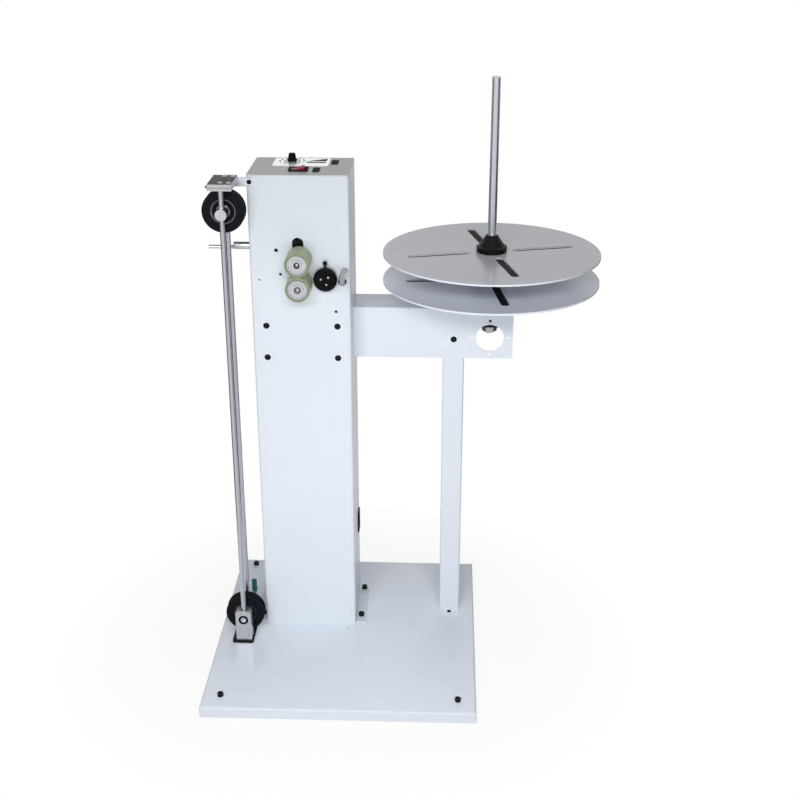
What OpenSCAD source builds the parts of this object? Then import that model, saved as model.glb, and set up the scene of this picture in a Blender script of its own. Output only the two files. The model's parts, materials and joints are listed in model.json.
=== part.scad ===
// Wire pay-off machine: a spool turntable on an arm, a powered pinch-roller feed and a sliding dancer pulley.
// Millimetres. X to the right, Y away from the operator, Z up. The origin is on the floor under the base centre.

/* [Sheet metal] */
// Thickness of the folded steel sheet
sheet = 2; // [1.5:0.25:3]
// Outside radius of the bends
bend_r = 3.5; // [3.25:0.25:5]

/* [Base] */
// Width of the base tray
base_w = 450; // [430:5:600]
// Depth of the base tray
base_d = 475; // [440:5:650]
// Height of the tray's skirt
tray_h = 19; // [15:1:30]
// Gap between the skirt and the floor
foot_proud = 3; // [1:0.5:8]
// Diameter of a rubber foot
foot_d = 32; // [26:1:32]
// Distance of the foot screws from the tray's sides
foot_side_in = 30; // [24:1:40]
// Distance of the front foot screws from the tray's front
foot_front_in = 33; // [24:1:40]
// Distance of the rear foot screws from the tray's rear
foot_rear_in = 20; // [20:1:40]
// Hole in the middle of the tray
centre_hole_d = 5; // [3:0.5:10]

/* [Column] */
// Width of the column
col_w = 160; // [150:5:200]
// Depth of the column
col_d = 125; // [122:1:160]
// Height of the column above the tray
col_h = 815; // [780:5:900]
// Centre of the column, to the left of the base centre
col_left = 67.5; // [50:0.5:80]
// Front face of the column, behind the base centre
col_back = 17; // [5:1:30]
// Width of the foot flanges
flange_w = 18; // [16:1:24]
// Width of the rear lips
lip_w = 14; // [12:1:20]
// Distance from the column's front to the front flange screws
flange_front_in = 25; // [15:1:40]
// Distance from the column's rear to the rear flange screws
flange_rear_in = 7; // [7:1:30]

/* [Arm and leg] */
// Depth of the arm's top face below the column's top
arm_drop = 232; // [225:1:300]
// Height of the arm
arm_h = 88; // [84:1:110]
// Depth of the arm
arm_d = 69; // [60:1:69]
// Distance of the arm's front behind the column's front
arm_recess = 51; // [40:1:51]
// Length of the arm inside the column
arm_in = 150; // [140:1:152]
// Depth of the arm's lower lip
arm_lip = 15; // [10:1:25]
// Half the spacing of the arm screws across the column
arm_screw_dx = 58; // [45:1:60]
// Half the spacing of the arm screws along the column
arm_screw_dz = 27.5; // [20:0.5:32]
// Distance from the column's side to the spindle axis
spindle_reach = 227.5; // [220:2.5:260]
// Length of the arm past the spindle axis
arm_over = 38.5; // [36:0.5:60]
// Diameter of the round port in the arm
port_d = 47; // [30:1:50]
// Depth of the port's centre below the arm's top
port_drop = 52; // [44:1:54]
// Bolt circle around the port
port_pcd = 60; // [56:1:64]
// Diameter of the holes on the bolt circle
port_hole_d = 5; // [3:0.5:6]
// Width of the leg
leg_w = 36; // [24:1:40]
// Depth of the leg
leg_d = 30; // [20:1:40]
// Distance from the column's side to the middle of the leg
leg_reach = 167.5; // [120:2.5:170]
// Length of the leg's foot tab
leg_tab = 18; // [14:1:24]
// Depth of the leg screw below the arm's top
leg_screw_drop = 55; // [30:1:70]

/* [Spindle and turntable] */
// Diameter of the spindle
spindle_d = 14; // [10:0.5:16]
// Height of the spindle above the arm
spindle_h = 371; // [340:1:420]
// Width of the spindle block
block_w = 32; // [26:1:40]
// Height of the spindle block
block_h = 38; // [30:1:40]
// Height of the spindle collar
collar_h = 10; // [6:0.5:14]
// Diameter of the spindle collar
collar_d = 30; // [24:1:40]
// Diameter of the discs
disc_d = 358; // [340:2:360]
// Thickness of the discs
disc_t = 3; // [2:0.5:5]
// Height of the hub below the lower disc
hub_low_h = 28; // [24:1:40]
// Height of the hub between the discs
hub_mid_h = 43; // [36:1:60]
// Diameter of the hub between the discs
hub_d = 40; // [40:1:60]
// Width of the disc slots
slot_w = 14; // [8:1:18]
// Inner end of the disc slots, from the axis
slot_in = 36; // [34:1:50]
// Outer end of the disc slots, from the axis
slot_out = 142; // [120:1:155]
// Angle of the upper disc's first slot
slot_turn = 14; // [0:1:45]
// Angle by which the lower disc's slots lag behind the upper disc's
slot_lag = 6; // [0:1:14]
// Diameter of the spool cone
cone_d = 50; // [44:1:60]
// Diameter of the cone's top
cone_top_d = 21; // [18:0.5:30]
// Height of the cone
cone_h = 28; // [22:1:40]
// Height of the cone's straight skirt
cone_skirt = 9; // [4:0.5:14]

/* [Dancer] */
// Distance of the guide rods from the column's left side
rod_off = 31; // [29:0.5:36]
// Distance between the guide rods
rod_pitch = 45; // [44:1:60]
// Diameter of the guide rods
rod_d = 8; // [6:0.5:8]
// Thickness of the dancer bracket bar
bar_t = 2.5; // [2:0.5:4]
// Height of the dancer bracket bar
bar_h = 14; // [12:1:20]
// Distance from the rear rod to the rear face of the top plate
rod_edge = 8; // [7:0.5:9]
// Distance from the front rod to the front face of the top plate
plate_front = 12; // [8:0.5:16]
// Width of the dancer top plate
plate_w = 37; // [30:1:44]
// Thickness of the dancer top plate
plate_t = 10; // [9:0.5:12]
// Diameter of the pulleys
pulley_d = 67; // [60:1:67]
// Width of the pulleys
pulley_w = 20; // [14:1:20]
// Depth of the pulley groove
groove_depth = 10; // [6:0.5:12]
// Depth of the upper pulley's axis below the column's top
upper_axis_drop = 48; // [46:1:60]
// Height of the lower pulley's axis above the tray
lower_axis_z = 45; // [42:1:50]
// Width of a carriage block
carr_w = 27; // [22:1:32]
// Depth of a carriage block
carr_d = 20; // [16:1:20]
// Height of a carriage block
carr_h = 57; // [50:1:70]
// Thickness of the bumper pad
pad_t = 4; // [2:0.5:8]
// Margin of the bumper pad on the carriage's left
pad_left = 7; // [2:0.5:12]
// Margin of the bumper pad on the carriage's right
pad_right = 2.5; // [1:0.5:6]
// Diameter of the pulley axles
axle_d = 8; // [6:0.5:10]
// Diameter of the cross clamps
clamp_d = 18; // [16:0.5:20]
// Height of the trip post
trip_h = 18; // [12:1:24]
// Diameter of the trip post
trip_d = 9; // [6:0.5:10]

/* [Limit lever] */
// Depth of the limit lever below the column's top
lever_drop = 117; // [105:1:125]
// Distance of the limit lever behind the column's front
lever_in = 12; // [12:0.5:14]
// Diameter of the lever's thick part
lever_d = 12; // [8:0.5:12]
// Diameter of the lever's tip
lever_tip_d = 6; // [4:0.5:8]
// Length of the thick part outside the column
lever_out = 26; // [18:1:40]
// Length of the lever's tip
lever_tip = 40; // [20:1:50]

/* [Feed rollers] */
// Depth of the drive roller's axis below the column's top
drive_drop = 173; // [165:1:185]
// Diameter of the rollers
roller_d = 40; // [36:0.5:40]
// Length of the rollers
roller_len = 42; // [30:1:50]
// Gap between the rollers and the column
roller_off = 3; // [2:0.5:6]
// Thickness of the polyurethane tyres
tyre_t = 4.5; // [2:0.5:6]
// Diameter of the drive shaft
shaft_d = 12; // [10:0.5:14]
// Diameter of the pinch axle
pinch_d = 10; // [8:0.5:12]
// Lift of the pinch roller
pinch_lift = 8; // [4:0.5:8]
// Distance of the pinch slot to the left of the rollers
pinch_slot_left = 2.5; // [0:0.5:3]
// Width of the pinch slot
pinch_slot_w = 18; // [16:0.5:20]
// Top of the pinch slot above the pinch axis
pinch_slot_up = 32.5; // [31:0.5:36]

/* [Lift knob and wire guide] */
// Distance of the lift knob to the right of the rollers
lift_dx = 41; // [40:0.5:44]
// Height of the lift knob's axis above the drive roller's axis
lift_dz = 7; // [5:0.5:9]
// Diameter of the lift knob
lift_d = 38; // [30:1:38]
// Thickness of the lift knob
lift_t = 12; // [8:0.5:14]
// Length of the lever pin outside the knob
pin_len = 11; // [6:0.5:11]
// Turn of the lift knob
lift_turn = 45; // [30:1:45]
// Smallest radius of the lift cam
cam_r = 20; // [18:0.5:22]
// Distance of the wire guide from the column's right side
guide_in = 8.5; // [8:0.5:10]
// Drop of the wire guide below the nip of the rollers
guide_drop = 3; // [0:0.5:4]
// Diameter of the wire guide
guide_d = 14; // [10:0.5:14]
// Length of the wire guide
guide_len = 54; // [35:1:60]
// Diameter of the wire hole in the guide
wire_hole_d = 5; // [3:0.5:6]

/* [Top panel] */
// Distance of the speed knob from the column's left side
speed_x = 61.5; // [55:0.5:70]
// Distance of the speed knob behind the column's front
speed_y = 97; // [90:1:100]
// Diameter of the speed knob
speed_d = 16; // [12:0.5:20]
// Height of the speed knob
speed_h = 12; // [8:0.5:16]
// Distance of the rocker switch from the column's left side
rocker_x = 78; // [70:0.5:80]
// Distance of the rocker switch behind the column's front
rocker_y = 37; // [32:0.5:45]
// Width of the rocker switch frame
rocker_w = 31; // [28:0.5:34]
// Depth of the rocker switch frame
rocker_d = 26; // [22:0.5:28]
// Tilt of the rocker paddle at rest
rocker_tilt = 15; // [6:0.5:16]

/* [Electrics] */
// Height of the power inlet above the tray
inlet_z = 158; // [120:1:200]
// Distance of the power inlet from the column's rear
inlet_in = 26; // [24:0.5:40]
// Width of the power inlet's flange
inlet_w = 27; // [24:0.5:32]
// Height of the power inlet's flange
inlet_h = 40; // [36:0.5:48]

/* [Clearances] */
// Radial clearance of running fits
run_gap = 0.05; // [0.02:0.01:0.1]
// Gap between pieces that move past each other
seat_gap = 0.3; // [0.2:0.05:0.5]
// Radial clearance of screws and pins in their holes
hole_gap = 0.2; // [0.1:0.05:0.4]
// Radial gap of pressed and glued fits
fit_gap = 0.01; // [0.01:0.005:0.02]

/* [Hidden] */
$fn = 96;
eps = 0.01;

// Colours
paint = [0.90, 0.91, 0.93];
steel = [0.72, 0.73, 0.75];
bright = [0.82, 0.83, 0.85];
black = [0.08, 0.08, 0.09];
rubber = [0.12, 0.12, 0.13];
tyre_green = [0.62, 0.70, 0.47];
bronze = [0.70, 0.55, 0.30];
teal = [0.10, 0.42, 0.48];

// Base and column planes
base_top = foot_proud + tray_h;
col_x = -col_left;
col_l = col_x - col_w / 2;
col_r = col_x + col_w / 2;
col_front = col_back;
col_rear = col_front + col_d;
col_top = base_top + col_h;
front_in = col_front + sheet;
foot_x = base_w / 2 - foot_side_in;
feet_y = [-base_d / 2 + foot_front_in, base_d / 2 - foot_rear_in];
tray_corner = 2;
flange_screw_off = flange_w / 2;
flange_y = [col_front + flange_front_in, col_rear - flange_rear_in];

// Screws: shank, head width and head height
m3 = [3, 5.7, 1.65];
m4 = [4, 7.6, 2.2];
m6 = [6, 10.5, 3.3];
m6_cap = [6, 10, 6];

// Arm, leg and spindle
arm_top = col_top - arm_drop;
arm_bottom = arm_top - arm_h;
arm_mid = arm_top - arm_h / 2;
arm_front = col_front + arm_recess;
arm_l = col_r - arm_in;
spindle_x = col_r + spindle_reach;
spindle_y = arm_front + arm_d / 2;
arm_r = spindle_x + arm_over;
port_z = arm_top - port_drop;
leg_x = col_r + leg_reach;
leg_front = arm_front + sheet;
leg_top = arm_top - sheet - 4;
leg_screw_z = arm_top - leg_screw_drop;
block_low = arm_top - sheet - block_h;
nut_h = 10;
nut_af = 22;
tail = 4;

// Turntable
bearing_d = 32;
bearing_w = 9;
hub_bottom = arm_top + collar_h + seat_gap;
disc1_z = hub_bottom + hub_low_h;
hub_top = disc1_z + disc_t + hub_mid_h;
disc2_z = hub_top + seat_gap;
cone_z = disc2_z + disc_t;
hub_flange_d = hub_d + 18;

// Groove for a retaining clip on the spindle, just above the cone
clip_gap = 2;
clip_w = 1.2;
clip_deep = 0.4;

// Dancer
rod_x = col_l - rod_off;
rod_rear_y = col_front - bar_t - rod_edge;
rod_front_y = rod_rear_y - rod_pitch;
rods_y = [rod_front_y, rod_rear_y];
pulley_y = (rod_front_y + rod_rear_y) / 2;
plate_low = col_top - plate_t;
plate_y0 = rod_front_y - plate_front;
plate_y1 = rod_rear_y + rod_edge;
rod_seat = plate_t - 3;
clamp_slit = 0.8;
rod_tap = 14;
upper_z = col_top - upper_axis_drop;
lower_z = base_top + lower_axis_z;
carr_low = base_top + pad_t + seat_gap;
carr_top = carr_low + carr_h;
bush_d = rod_d + 5;
bush_h = carr_top - lower_z - axle_d / 2 - 1;
pulley_bearing_d = axle_d + 14;
pulley_bearing_w = 7;
boss_d = axle_d + 5;
trip_plate_t = 2;
lever_y = col_front + lever_in;
lever_axis_z = col_top - lever_drop;
trip_x = rod_x + rod_d / 2 + trip_d / 2 + 1;
pad_w = pad_left + carr_w + pad_right;

// Limit lever
pivot_in = 14;
pivot_x = col_l + sheet + pivot_in;
pivot_d = 5;
lever_hub_d = 16;
lever_hub_w = lever_d;
ear_t = 2;

// Feed rollers
roller_x = col_x;
roller_y0 = col_front - roller_off - roller_len;
roller_y1 = col_front - roller_off;
drive_axis_z = col_top - drive_drop;
pinch_axis_z = drive_axis_z + roller_d + seat_gap;
hub_r = roller_d / 2 - tyre_t;
gear_w = 44;
gear_l = 35;
motor_d = 46;
motor_l = 62;
slide_w = 24;
slide_t = 12;
slide_down = 13;
slide_up = 27;
rail_w = 6;
rail_back = 2;
nose_gap = 0.3;
nose_up = pinch_slot_up - pinch_lift - 7.5;
nose_down = 10;
slot_down = 12.5;
spring_len = 26;
spring_d = 8;
spring_wire = 1.2;
spring_turns = 7;

// Lift knob
lift_x = roller_x + lift_dx;
lift_z = drive_axis_z + lift_dz;
lift_y0 = col_front - roller_off - lift_t;
lift_shaft_d = 10;
pin_d = 3.4;
cam_y0 = front_in + slide_t + rail_back + 2;
cam_t = 6;
follower_low = lift_z + cam_r + seat_gap;
follower_h = 8;
follower_w = 4;
follower_step = 3.2;

// Wire guide and top panel
guide_x = col_r - guide_in;
guide_z = drive_axis_z + (roller_d + seat_gap) / 2 - guide_drop;
wire_y = (roller_y0 + roller_y1) / 2;
speed_px = col_l + speed_x;
speed_py = col_front + speed_y;
rocker_px = col_l + rocker_x;
rocker_py = col_front + rocker_y;
rocker_body_w = rocker_w - 4;
rocker_body_d = rocker_d - 4;
rocker_wall = 1.5;
rocker_deep = 20;
rocker_pivot_z = col_top - 1;
blank_w = 11;
blank_d = 27;
blank_t = 1.2;
blanks = [[rocker_px + rocker_w / 2 + 13, rocker_py - 2], [speed_px + 70, speed_py - 7]];
inlet_py = col_rear - inlet_in;
inlet_pz = base_top + inlet_z;
inlet_flange_t = 2.5;
inlet_deep = 22;

// Plain helpers

// Rounded rectangle with sharp tangents, centred
module rrect(w, d, r) {
    square([w - 2 * r, d], center = true);
    square([w, d - 2 * r], center = true);
    for (x = [-1, 1], y = [-1, 1])
        translate([x * (w / 2 - r), y * (d / 2 - r)])
            circle(r);
}

// Round bar along Y from y0 to y1
module bar_y(d, y0, y1) {
    translate([0, y0, 0])
        rotate([-90, 0, 0])
            cylinder(d = d, h = y1 - y0);
}

// Round bar along X from x0 to x1
module bar_x(d, x0, x1) {
    translate([x0, 0, 0])
        rotate([0, 90, 0])
            cylinder(d = d, h = x1 - x0);
}

// Pan-head screw along -Z, its head seated on z = 0
module screw(size, len) {
    head_r = size[1] / 2;
    dome_r = (head_r * head_r + size[2] * size[2]) / (2 * size[2]);
    difference() {
        union() {
            translate([0, 0, -len])
                cylinder(d = size[0], h = len + eps);
            intersection() {
                translate([0, 0, size[2] - dome_r])
                    sphere(dome_r);
                cylinder(r = head_r + 1, h = size[2] + 1);
            }
        }
        translate([0, 0, size[2] * 0.4])
            cylinder(d = size[0] * 0.75, h = size[2], $fn = 6);
    }
}

// Socket cap screw along Z, its head seated on z = 0
module cap_screw(size, len) {
    shank_r = size[0] / 2;
    r = size[1] / 2;
    h = size[2];
    edge = h * 0.1;
    difference() {
        rotate_extrude()
            polygon([[0, -len], [shank_r, -len], [shank_r, 0], [r, 0], [r, h - edge], [r - edge, h], [0, h]]);
        translate([0, 0, h / 2])
            cylinder(d = size[0] * 0.95, h = h, $fn = 6);
    }
}

// The button-head screw along +Y, its head seated on y = 0 and facing the operator
module screw_front(size, len) {
    rotate([90, 0, 0])
        screw(size, len);
}

// Hex nut along Z, standing on z = 0
module hex_nut(af, h, bore) {
    difference() {
        cylinder(d = af / cos(30), h = h, $fn = 6);
        translate([0, 0, -1])
            cylinder(d = bore, h = h + 2);
    }
}

// Places of the rubber feet
module foot_places() {
    for (x = [-foot_x, foot_x], y = feet_y)
        translate([x, y, 0])
            children();
}

// Places of the column's flange screws
module flange_places() {
    for (x = [col_l - flange_screw_off, col_r + flange_screw_off], y = flange_y)
        translate([x, y, 0])
            children();
}

// Places of the arm screws, on the column's front plane
module arm_screw_places() {
    for (x = [-arm_screw_dx, arm_screw_dx], z = [-arm_screw_dz, arm_screw_dz])
        translate([col_x + x, 0, arm_mid + z])
            children();
}

// Places of the rear cover screws
cover_z = [base_top + 30, base_top + col_h * 0.36, base_top + col_h * 0.64, col_top - 30];
module cover_places() {
    for (x = [col_l + lip_w / 2 + 1, col_r - lip_w / 2 - 1], z = cover_z)
        translate([x, col_rear, z])
            children();
}

// Fixed frame

// Upright rectangle standing on y = 0, with rounded upper corners
module crown(w, h, r) {
    translate([-w / 2, 0])
        square([w, h - r]);
    translate([-w / 2 + r, 0])
        square([w - 2 * r, h]);
    for (s = [-1, 1])
        translate([s * (w / 2 - r), h - r])
            circle(r);
}

// Shallow box with folded upper edges and ground corners, standing on z = 0
module tray_form(w, d, h, edge, corner) {
    intersection() {
        linear_extrude(h)
            rrect(w, d, corner);
        rotate([90, 0, 0])
            linear_extrude(d + 2, center = true)
                crown(w, h, edge);
        rotate([90, 0, 90])
            linear_extrude(w + 2, center = true)
                crown(d, h, edge);
    }
}

module base_tray() {
    color(paint) difference() {
        translate([0, 0, foot_proud])
            tray_form(base_w, base_d, tray_h, bend_r, tray_corner);
        translate([0, 0, foot_proud - 1])
            tray_form(base_w - 2 * sheet, base_d - 2 * sheet, tray_h - sheet + 1, bend_r - sheet, 0.5);
        translate([0, 0, base_top - sheet - 1]) {
            cylinder(d = centre_hole_d, h = sheet + 2);
            foot_places()
                cylinder(d = m6[0] + 2 * hole_gap, h = sheet + 2);
            flange_places()
                cylinder(d = m6[0] + 2 * hole_gap, h = sheet + 2);
            translate([leg_x, leg_front - leg_tab / 2, 0])
                cylinder(d = m4[0] + 2 * hole_gap, h = sheet + 2);
            for (y = rods_y)
                translate([rod_x, y, 0])
                    cylinder(d = m4[0] + 2 * hole_gap, h = sheet + 2);
        }
    }
}

module rubber_feet() {
    color(rubber) foot_places()
        difference() {
            cylinder(d1 = foot_d - 4, d2 = foot_d, h = base_top - sheet);
            translate([0, 0, base_top - sheet - 12])
                cylinder(d = m6[0] + 2 * hole_gap, h = 13);
            translate([0, 0, -1])
                cylinder(d = foot_d * 0.5, h = 3);
        }
}

module base_screws() {
    color(black) {
        translate([0, 0, base_top])
            foot_places()
                cap_screw(m6_cap, sheet + 10);
        translate([0, 0, base_top + sheet])
            flange_places()
                cap_screw(m6_cap, 2 * sheet + 6);
        translate([leg_x, leg_front - leg_tab / 2, base_top + sheet])
            screw(m4, 2 * sheet + 6);
    }
}

module column_shell() {
    shell_d = col_d - sheet;
    shell_h = col_h - sheet;
    color(paint) difference() {
        union() {
            translate([col_x, col_front + shell_d / 2, base_top])
                linear_extrude(shell_h)
                    difference() {
                        rrect(col_w, shell_d, bend_r);
                        rrect(col_w - 2 * sheet, shell_d - 2 * sheet, bend_r - sheet);
                        translate([-col_w / 2 + lip_w, shell_d / 2 - sheet - 1])
                            square([col_w - 2 * lip_w, sheet + 2]);
                    }
            for (x = [col_l - flange_w, col_r - bend_r / 2])
                translate([x, col_front + bend_r, base_top])
                    cube([flange_w + bend_r / 2, shell_d - 2 * bend_r, sheet]);
        }
        translate([0, 0, base_top - 1])
            flange_places()
                cylinder(d = m6[0] + 2 * hole_gap, h = sheet + 2);
        cover_places()
            bar_y(m4[0] + 2 * hole_gap, -2 * sheet - 1, 1);
        arm_screw_places()
            bar_y(m6[0] + 2 * hole_gap, col_front - 1, front_in + 1);
        translate([col_r - sheet - 1, arm_front - seat_gap, arm_bottom - seat_gap])
            cube([sheet + 2, arm_d + 2 * seat_gap, arm_h + 2 * seat_gap]);
        pinch_slot();
        translate([roller_x, 0, drive_axis_z])
            bar_y(shaft_d + 8, col_front - 1, front_in + 1);
        translate([lift_x, 0, lift_z])
            bar_y(lift_shaft_d + 8, col_front - 1, front_in + 1);
        translate([guide_x, 0, guide_z])
            bar_y(m6[0] + 2 * hole_gap, col_front - 1, front_in + 1);
        translate([col_l + bracket_screw_in, 0, bar_mid])
            bar_y(m4[0] + 2 * hole_gap, col_front - 1, front_in + 1);
        lever_window();
        translate([col_r - sheet - 1, inlet_py - inlet_w / 2 + 2, inlet_pz - inlet_h / 2 + 5])
            cube([sheet + 2, inlet_w - 4, inlet_h - 10]);
        for (h = spare_holes)
            translate([col_l + h[0], 0, col_top - h[1]])
                bar_y(h[2], col_front - 1, front_in + 1);
    }
}

// Small open holes in the column's front: across, down from the top, diameter
spare_holes = [[42.7, 121, 6], [48.3, 161, 4.4], [14.2, 170.5, 3], [136.2, 223, 4.6]];

// Slot for the pinch slide in the column's front
module pinch_slot() {
    low = pinch_axis_z - slot_down + pinch_slot_w / 2;
    high = pinch_axis_z + pinch_slot_up - pinch_slot_w / 2;
    for (z = [low, high])
        translate([roller_x - pinch_slot_left, 0, z])
            bar_y(pinch_slot_w, col_front - 1, front_in + 1);
    translate([roller_x - pinch_slot_left - pinch_slot_w / 2, col_front - 1, low])
        cube([pinch_slot_w, sheet + 2, high - low]);
}

// Upright window for the limit lever in the column's left wall
module lever_window() {
    for (z = [0, 4])
        translate([0, lever_y, lever_axis_z + z])
            bar_x(lever_d + 1.5, col_l - 1, col_l + sheet + 1);
    translate([col_l - 1, lever_y - lever_d / 2 - 0.75, lever_axis_z])
        cube([sheet + 2, lever_d + 1.5, 4]);
}

module top_panel() {
    skirt_h = 9;
    color(paint) difference() {
        union() {
            translate([col_x, col_front + col_d / 2, col_top - sheet])
                linear_extrude(sheet)
                    rrect(col_w, col_d, bend_r);
            translate([col_x, col_front + (col_d - sheet) / 2, col_top - sheet - skirt_h])
                linear_extrude(skirt_h + eps)
                    difference() {
                        rrect(col_w - 2 * sheet - 2 * seat_gap, col_d - 3 * sheet - 2 * seat_gap, 1);
                        square([col_w - 4 * sheet - 2 * seat_gap, col_d - 5 * sheet - 2 * seat_gap], center = true);
                    }
        }
        translate([speed_px, speed_py, col_top - sheet - 1])
            cylinder(d = 10 + 2 * hole_gap, h = sheet + 2);
        translate([rocker_px, rocker_py, col_top])
            cube([rocker_body_w + 2 * hole_gap, rocker_body_d + 2 * hole_gap, 3 * sheet], center = true);
        for (b = blanks)
            translate([b[0], b[1], col_top])
                cube([blank_w - 4 + 2 * hole_gap, blank_d - 4 + 2 * hole_gap, 3 * sheet], center = true);
        translate([col_l + bracket_screw_in, col_front + sheet + 4, bar_mid])
            cube([16, 10, 16], center = true);
    }
}

module rear_cover() {
    color(paint) difference() {
        translate([col_l, col_rear - sheet, base_top])
            cube([col_w, sheet, col_h - sheet]);
        cover_places()
            bar_y(m4[0] + 2 * hole_gap, -sheet - 1, 1);
    }
}

module cover_screws() {
    color(black) cover_places()
        rotate([-90, 0, 0])
            screw(m4, 2 * sheet + 4);
}

module arm_beam() {
    color(paint) difference() {
        union() {
            translate([arm_l, arm_front, arm_bottom])
                rotate([90, 0, 90])
                    linear_extrude(arm_r - arm_l)
                        arm_section();
            translate([arm_l, arm_front, arm_bottom])
                cube([leg_x - leg_w / 2 - 2 - arm_l, arm_lip, sheet]);
        }
        translate([spindle_x, spindle_y, arm_top - sheet - 1])
            cylinder(d = spindle_d + 2 * hole_gap, h = sheet + 2);
        translate([spindle_x, 0, port_z]) {
            bar_y(port_d, arm_front - 1, arm_front + sheet + 1);
            for (a = [0:90:270])
                rotate([0, a, 0])
                    translate([port_pcd / 2, 0, 0])
                        bar_y(port_hole_d, arm_front - 1, arm_front + sheet + 1);
        }
        arm_screw_places()
            bar_y(m6[0] + 2 * hole_gap, arm_front - 1, arm_front + sheet + 1);
        translate([leg_x, 0, leg_screw_z])
            bar_y(m6[0] + 2 * hole_gap, arm_front - 1, arm_front + sheet + 1);
    }
}

// Section of the arm: an upright web folded into a top flange
module arm_section() {
    square([sheet, arm_h - bend_r]);
    translate([bend_r, arm_h - sheet])
        square([arm_d - bend_r, sheet]);
    translate([bend_r, arm_h - bend_r])
        intersection() {
            difference() {
                circle(bend_r);
                circle(bend_r - sheet);
            }
            translate([-bend_r, 0])
                square(bend_r);
        }
}

module arm_screws() {
    color(black) {
        translate([0, col_front, 0])
            arm_screw_places()
                screw_front(m6, arm_recess + sheet + 8);
        translate([leg_x, arm_front, leg_screw_z])
            screw_front(m6, 2 * sheet + 8);
    }
}

module arm_spacers() {
    color(steel) arm_screw_places()
        difference() {
            bar_y(12, front_in, arm_front);
            bar_y(m6[0] + 2 * hole_gap, front_in - 1, arm_front + 1);
        }
}

module nuts() {
    color(steel) {
        arm_screw_places()
            translate([0, arm_front + sheet, 0])
                rotate([-90, 0, 0])
                    hex_nut(10, 5, m6[0] + 2 * hole_gap);
        translate([leg_x, leg_front + sheet, leg_screw_z])
            rotate([-90, 0, 0])
                hex_nut(10, 5, m6[0] + 2 * hole_gap);
        translate([guide_x, front_in, guide_z])
            rotate([-90, 30, 0])
                hex_nut(10, 5, m6[0] + 2 * hole_gap);
        translate([spindle_x, spindle_y, block_low - nut_h])
            hex_nut(nut_af, nut_h, spindle_d + 2 * hole_gap);
    }
}

module leg_post() {
    leg_h = leg_top - base_top;
    color(paint) difference() {
        union() {
            translate([leg_x, leg_front + leg_d / 2, base_top])
                linear_extrude(leg_h)
                    difference() {
                        rrect(leg_w, leg_d, bend_r);
                        rrect(leg_w - 2 * sheet, leg_d - 2 * sheet, bend_r - sheet);
                        translate([-leg_w / 2 - 1, leg_d / 2 - bend_r])
                            square([leg_w + 2, bend_r + 1]);
                    }
            translate([leg_x - leg_w / 2, leg_front - leg_tab, base_top])
                cube([leg_w, leg_tab + sheet, sheet]);
        }
        translate([leg_x, leg_front - leg_tab / 2, base_top - 1])
            cylinder(d = m4[0] + 2 * hole_gap, h = sheet + 2);
        translate([leg_x, 0, leg_screw_z])
            bar_y(m6[0] + 2 * hole_gap, leg_front - 1, leg_front + sheet + 1);
    }
}

module spindle() {
    low = block_low - nut_h - tail;
    chamfer = 1.5;
    groove = cone_z + cone_h + clip_gap;
    r = spindle_d / 2;
    color(bright) translate([spindle_x, spindle_y, 0])
        rotate_extrude()
            polygon([[0, low], [r - chamfer, low], [r, low + chamfer], [r, groove], [r - clip_deep, groove],
                [r - clip_deep, groove + clip_w], [r, groove + clip_w], [r, arm_top + spindle_h - chamfer],
                [r - chamfer, arm_top + spindle_h], [0, arm_top + spindle_h]]);
}

module spindle_block() {
    color(rubber) translate([spindle_x, spindle_y, block_low])
        difference() {
            linear_extrude(block_h)
                rrect(block_w, block_w, 3);
            translate([0, 0, -1])
                cylinder(d = spindle_d + 2 * run_gap, h = block_h + 2);
        }
}

module spindle_collar() {
    color(steel) translate([spindle_x, spindle_y, arm_top])
        difference() {
            union() {
                cylinder(d = collar_d + 8, h = collar_h / 2);
                cylinder(d = collar_d, h = collar_h);
            }
            translate([0, 0, -1])
                cylinder(d = spindle_d + 2 * run_gap, h = collar_h + 2);
        }
}

// Dancer frame

bracket_screw_in = 5;
bar_mid = col_top - bar_h / 2 - 4;
bar_screw_x = [rod_x - plate_w * 0.3, rod_x + plate_w * 0.3];

module dancer_top_plate() {
    color(steel) difference() {
        translate([rod_x - plate_w / 2, plate_y0, plate_low])
            cube([plate_w, plate_y1 - plate_y0, plate_t]);
        for (y = rods_y) {
            translate([rod_x, y, plate_low - 1])
                cylinder(d = rod_d + 2 * run_gap, h = rod_seat + 1);
            translate([rod_x, y, plate_low])
                cylinder(d = m4[0] + 2 * hole_gap, h = plate_t + 1);
            translate([rod_x + plate_w * 0.36, y, col_top - 7])
                cylinder(d = m4[0] + 2 * hole_gap, h = 8);
        }
        for (x = bar_screw_x)
            translate([x, 0, col_top - 8])
                bar_y(m3[0] + 2 * hole_gap, plate_y1 - 3, plate_y1 + 1);
        translate([rod_x - plate_w / 2 - 1, plate_y0 - 1, col_top - plate_t * 0.55])
            cube([plate_w + 2, plate_front - rod_d / 2, clamp_slit]);
    }
}

module dancer_bracket() {
    color(steel) difference() {
        translate([rod_x - plate_w / 2, col_front - bar_t, bar_mid - bar_h / 2])
            cube([col_l + 2 * bracket_screw_in - rod_x + plate_w / 2, bar_t, bar_h]);
        translate([col_l + bracket_screw_in, 0, bar_mid])
            bar_y(m4[0] + 2 * hole_gap, col_front - bar_t - 1, col_front + 1);
        for (x = bar_screw_x)
            translate([x, 0, col_top - 8])
                bar_y(m3[0] + 2 * hole_gap, col_front - bar_t - 1, col_front + 1);
    }
}

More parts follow.
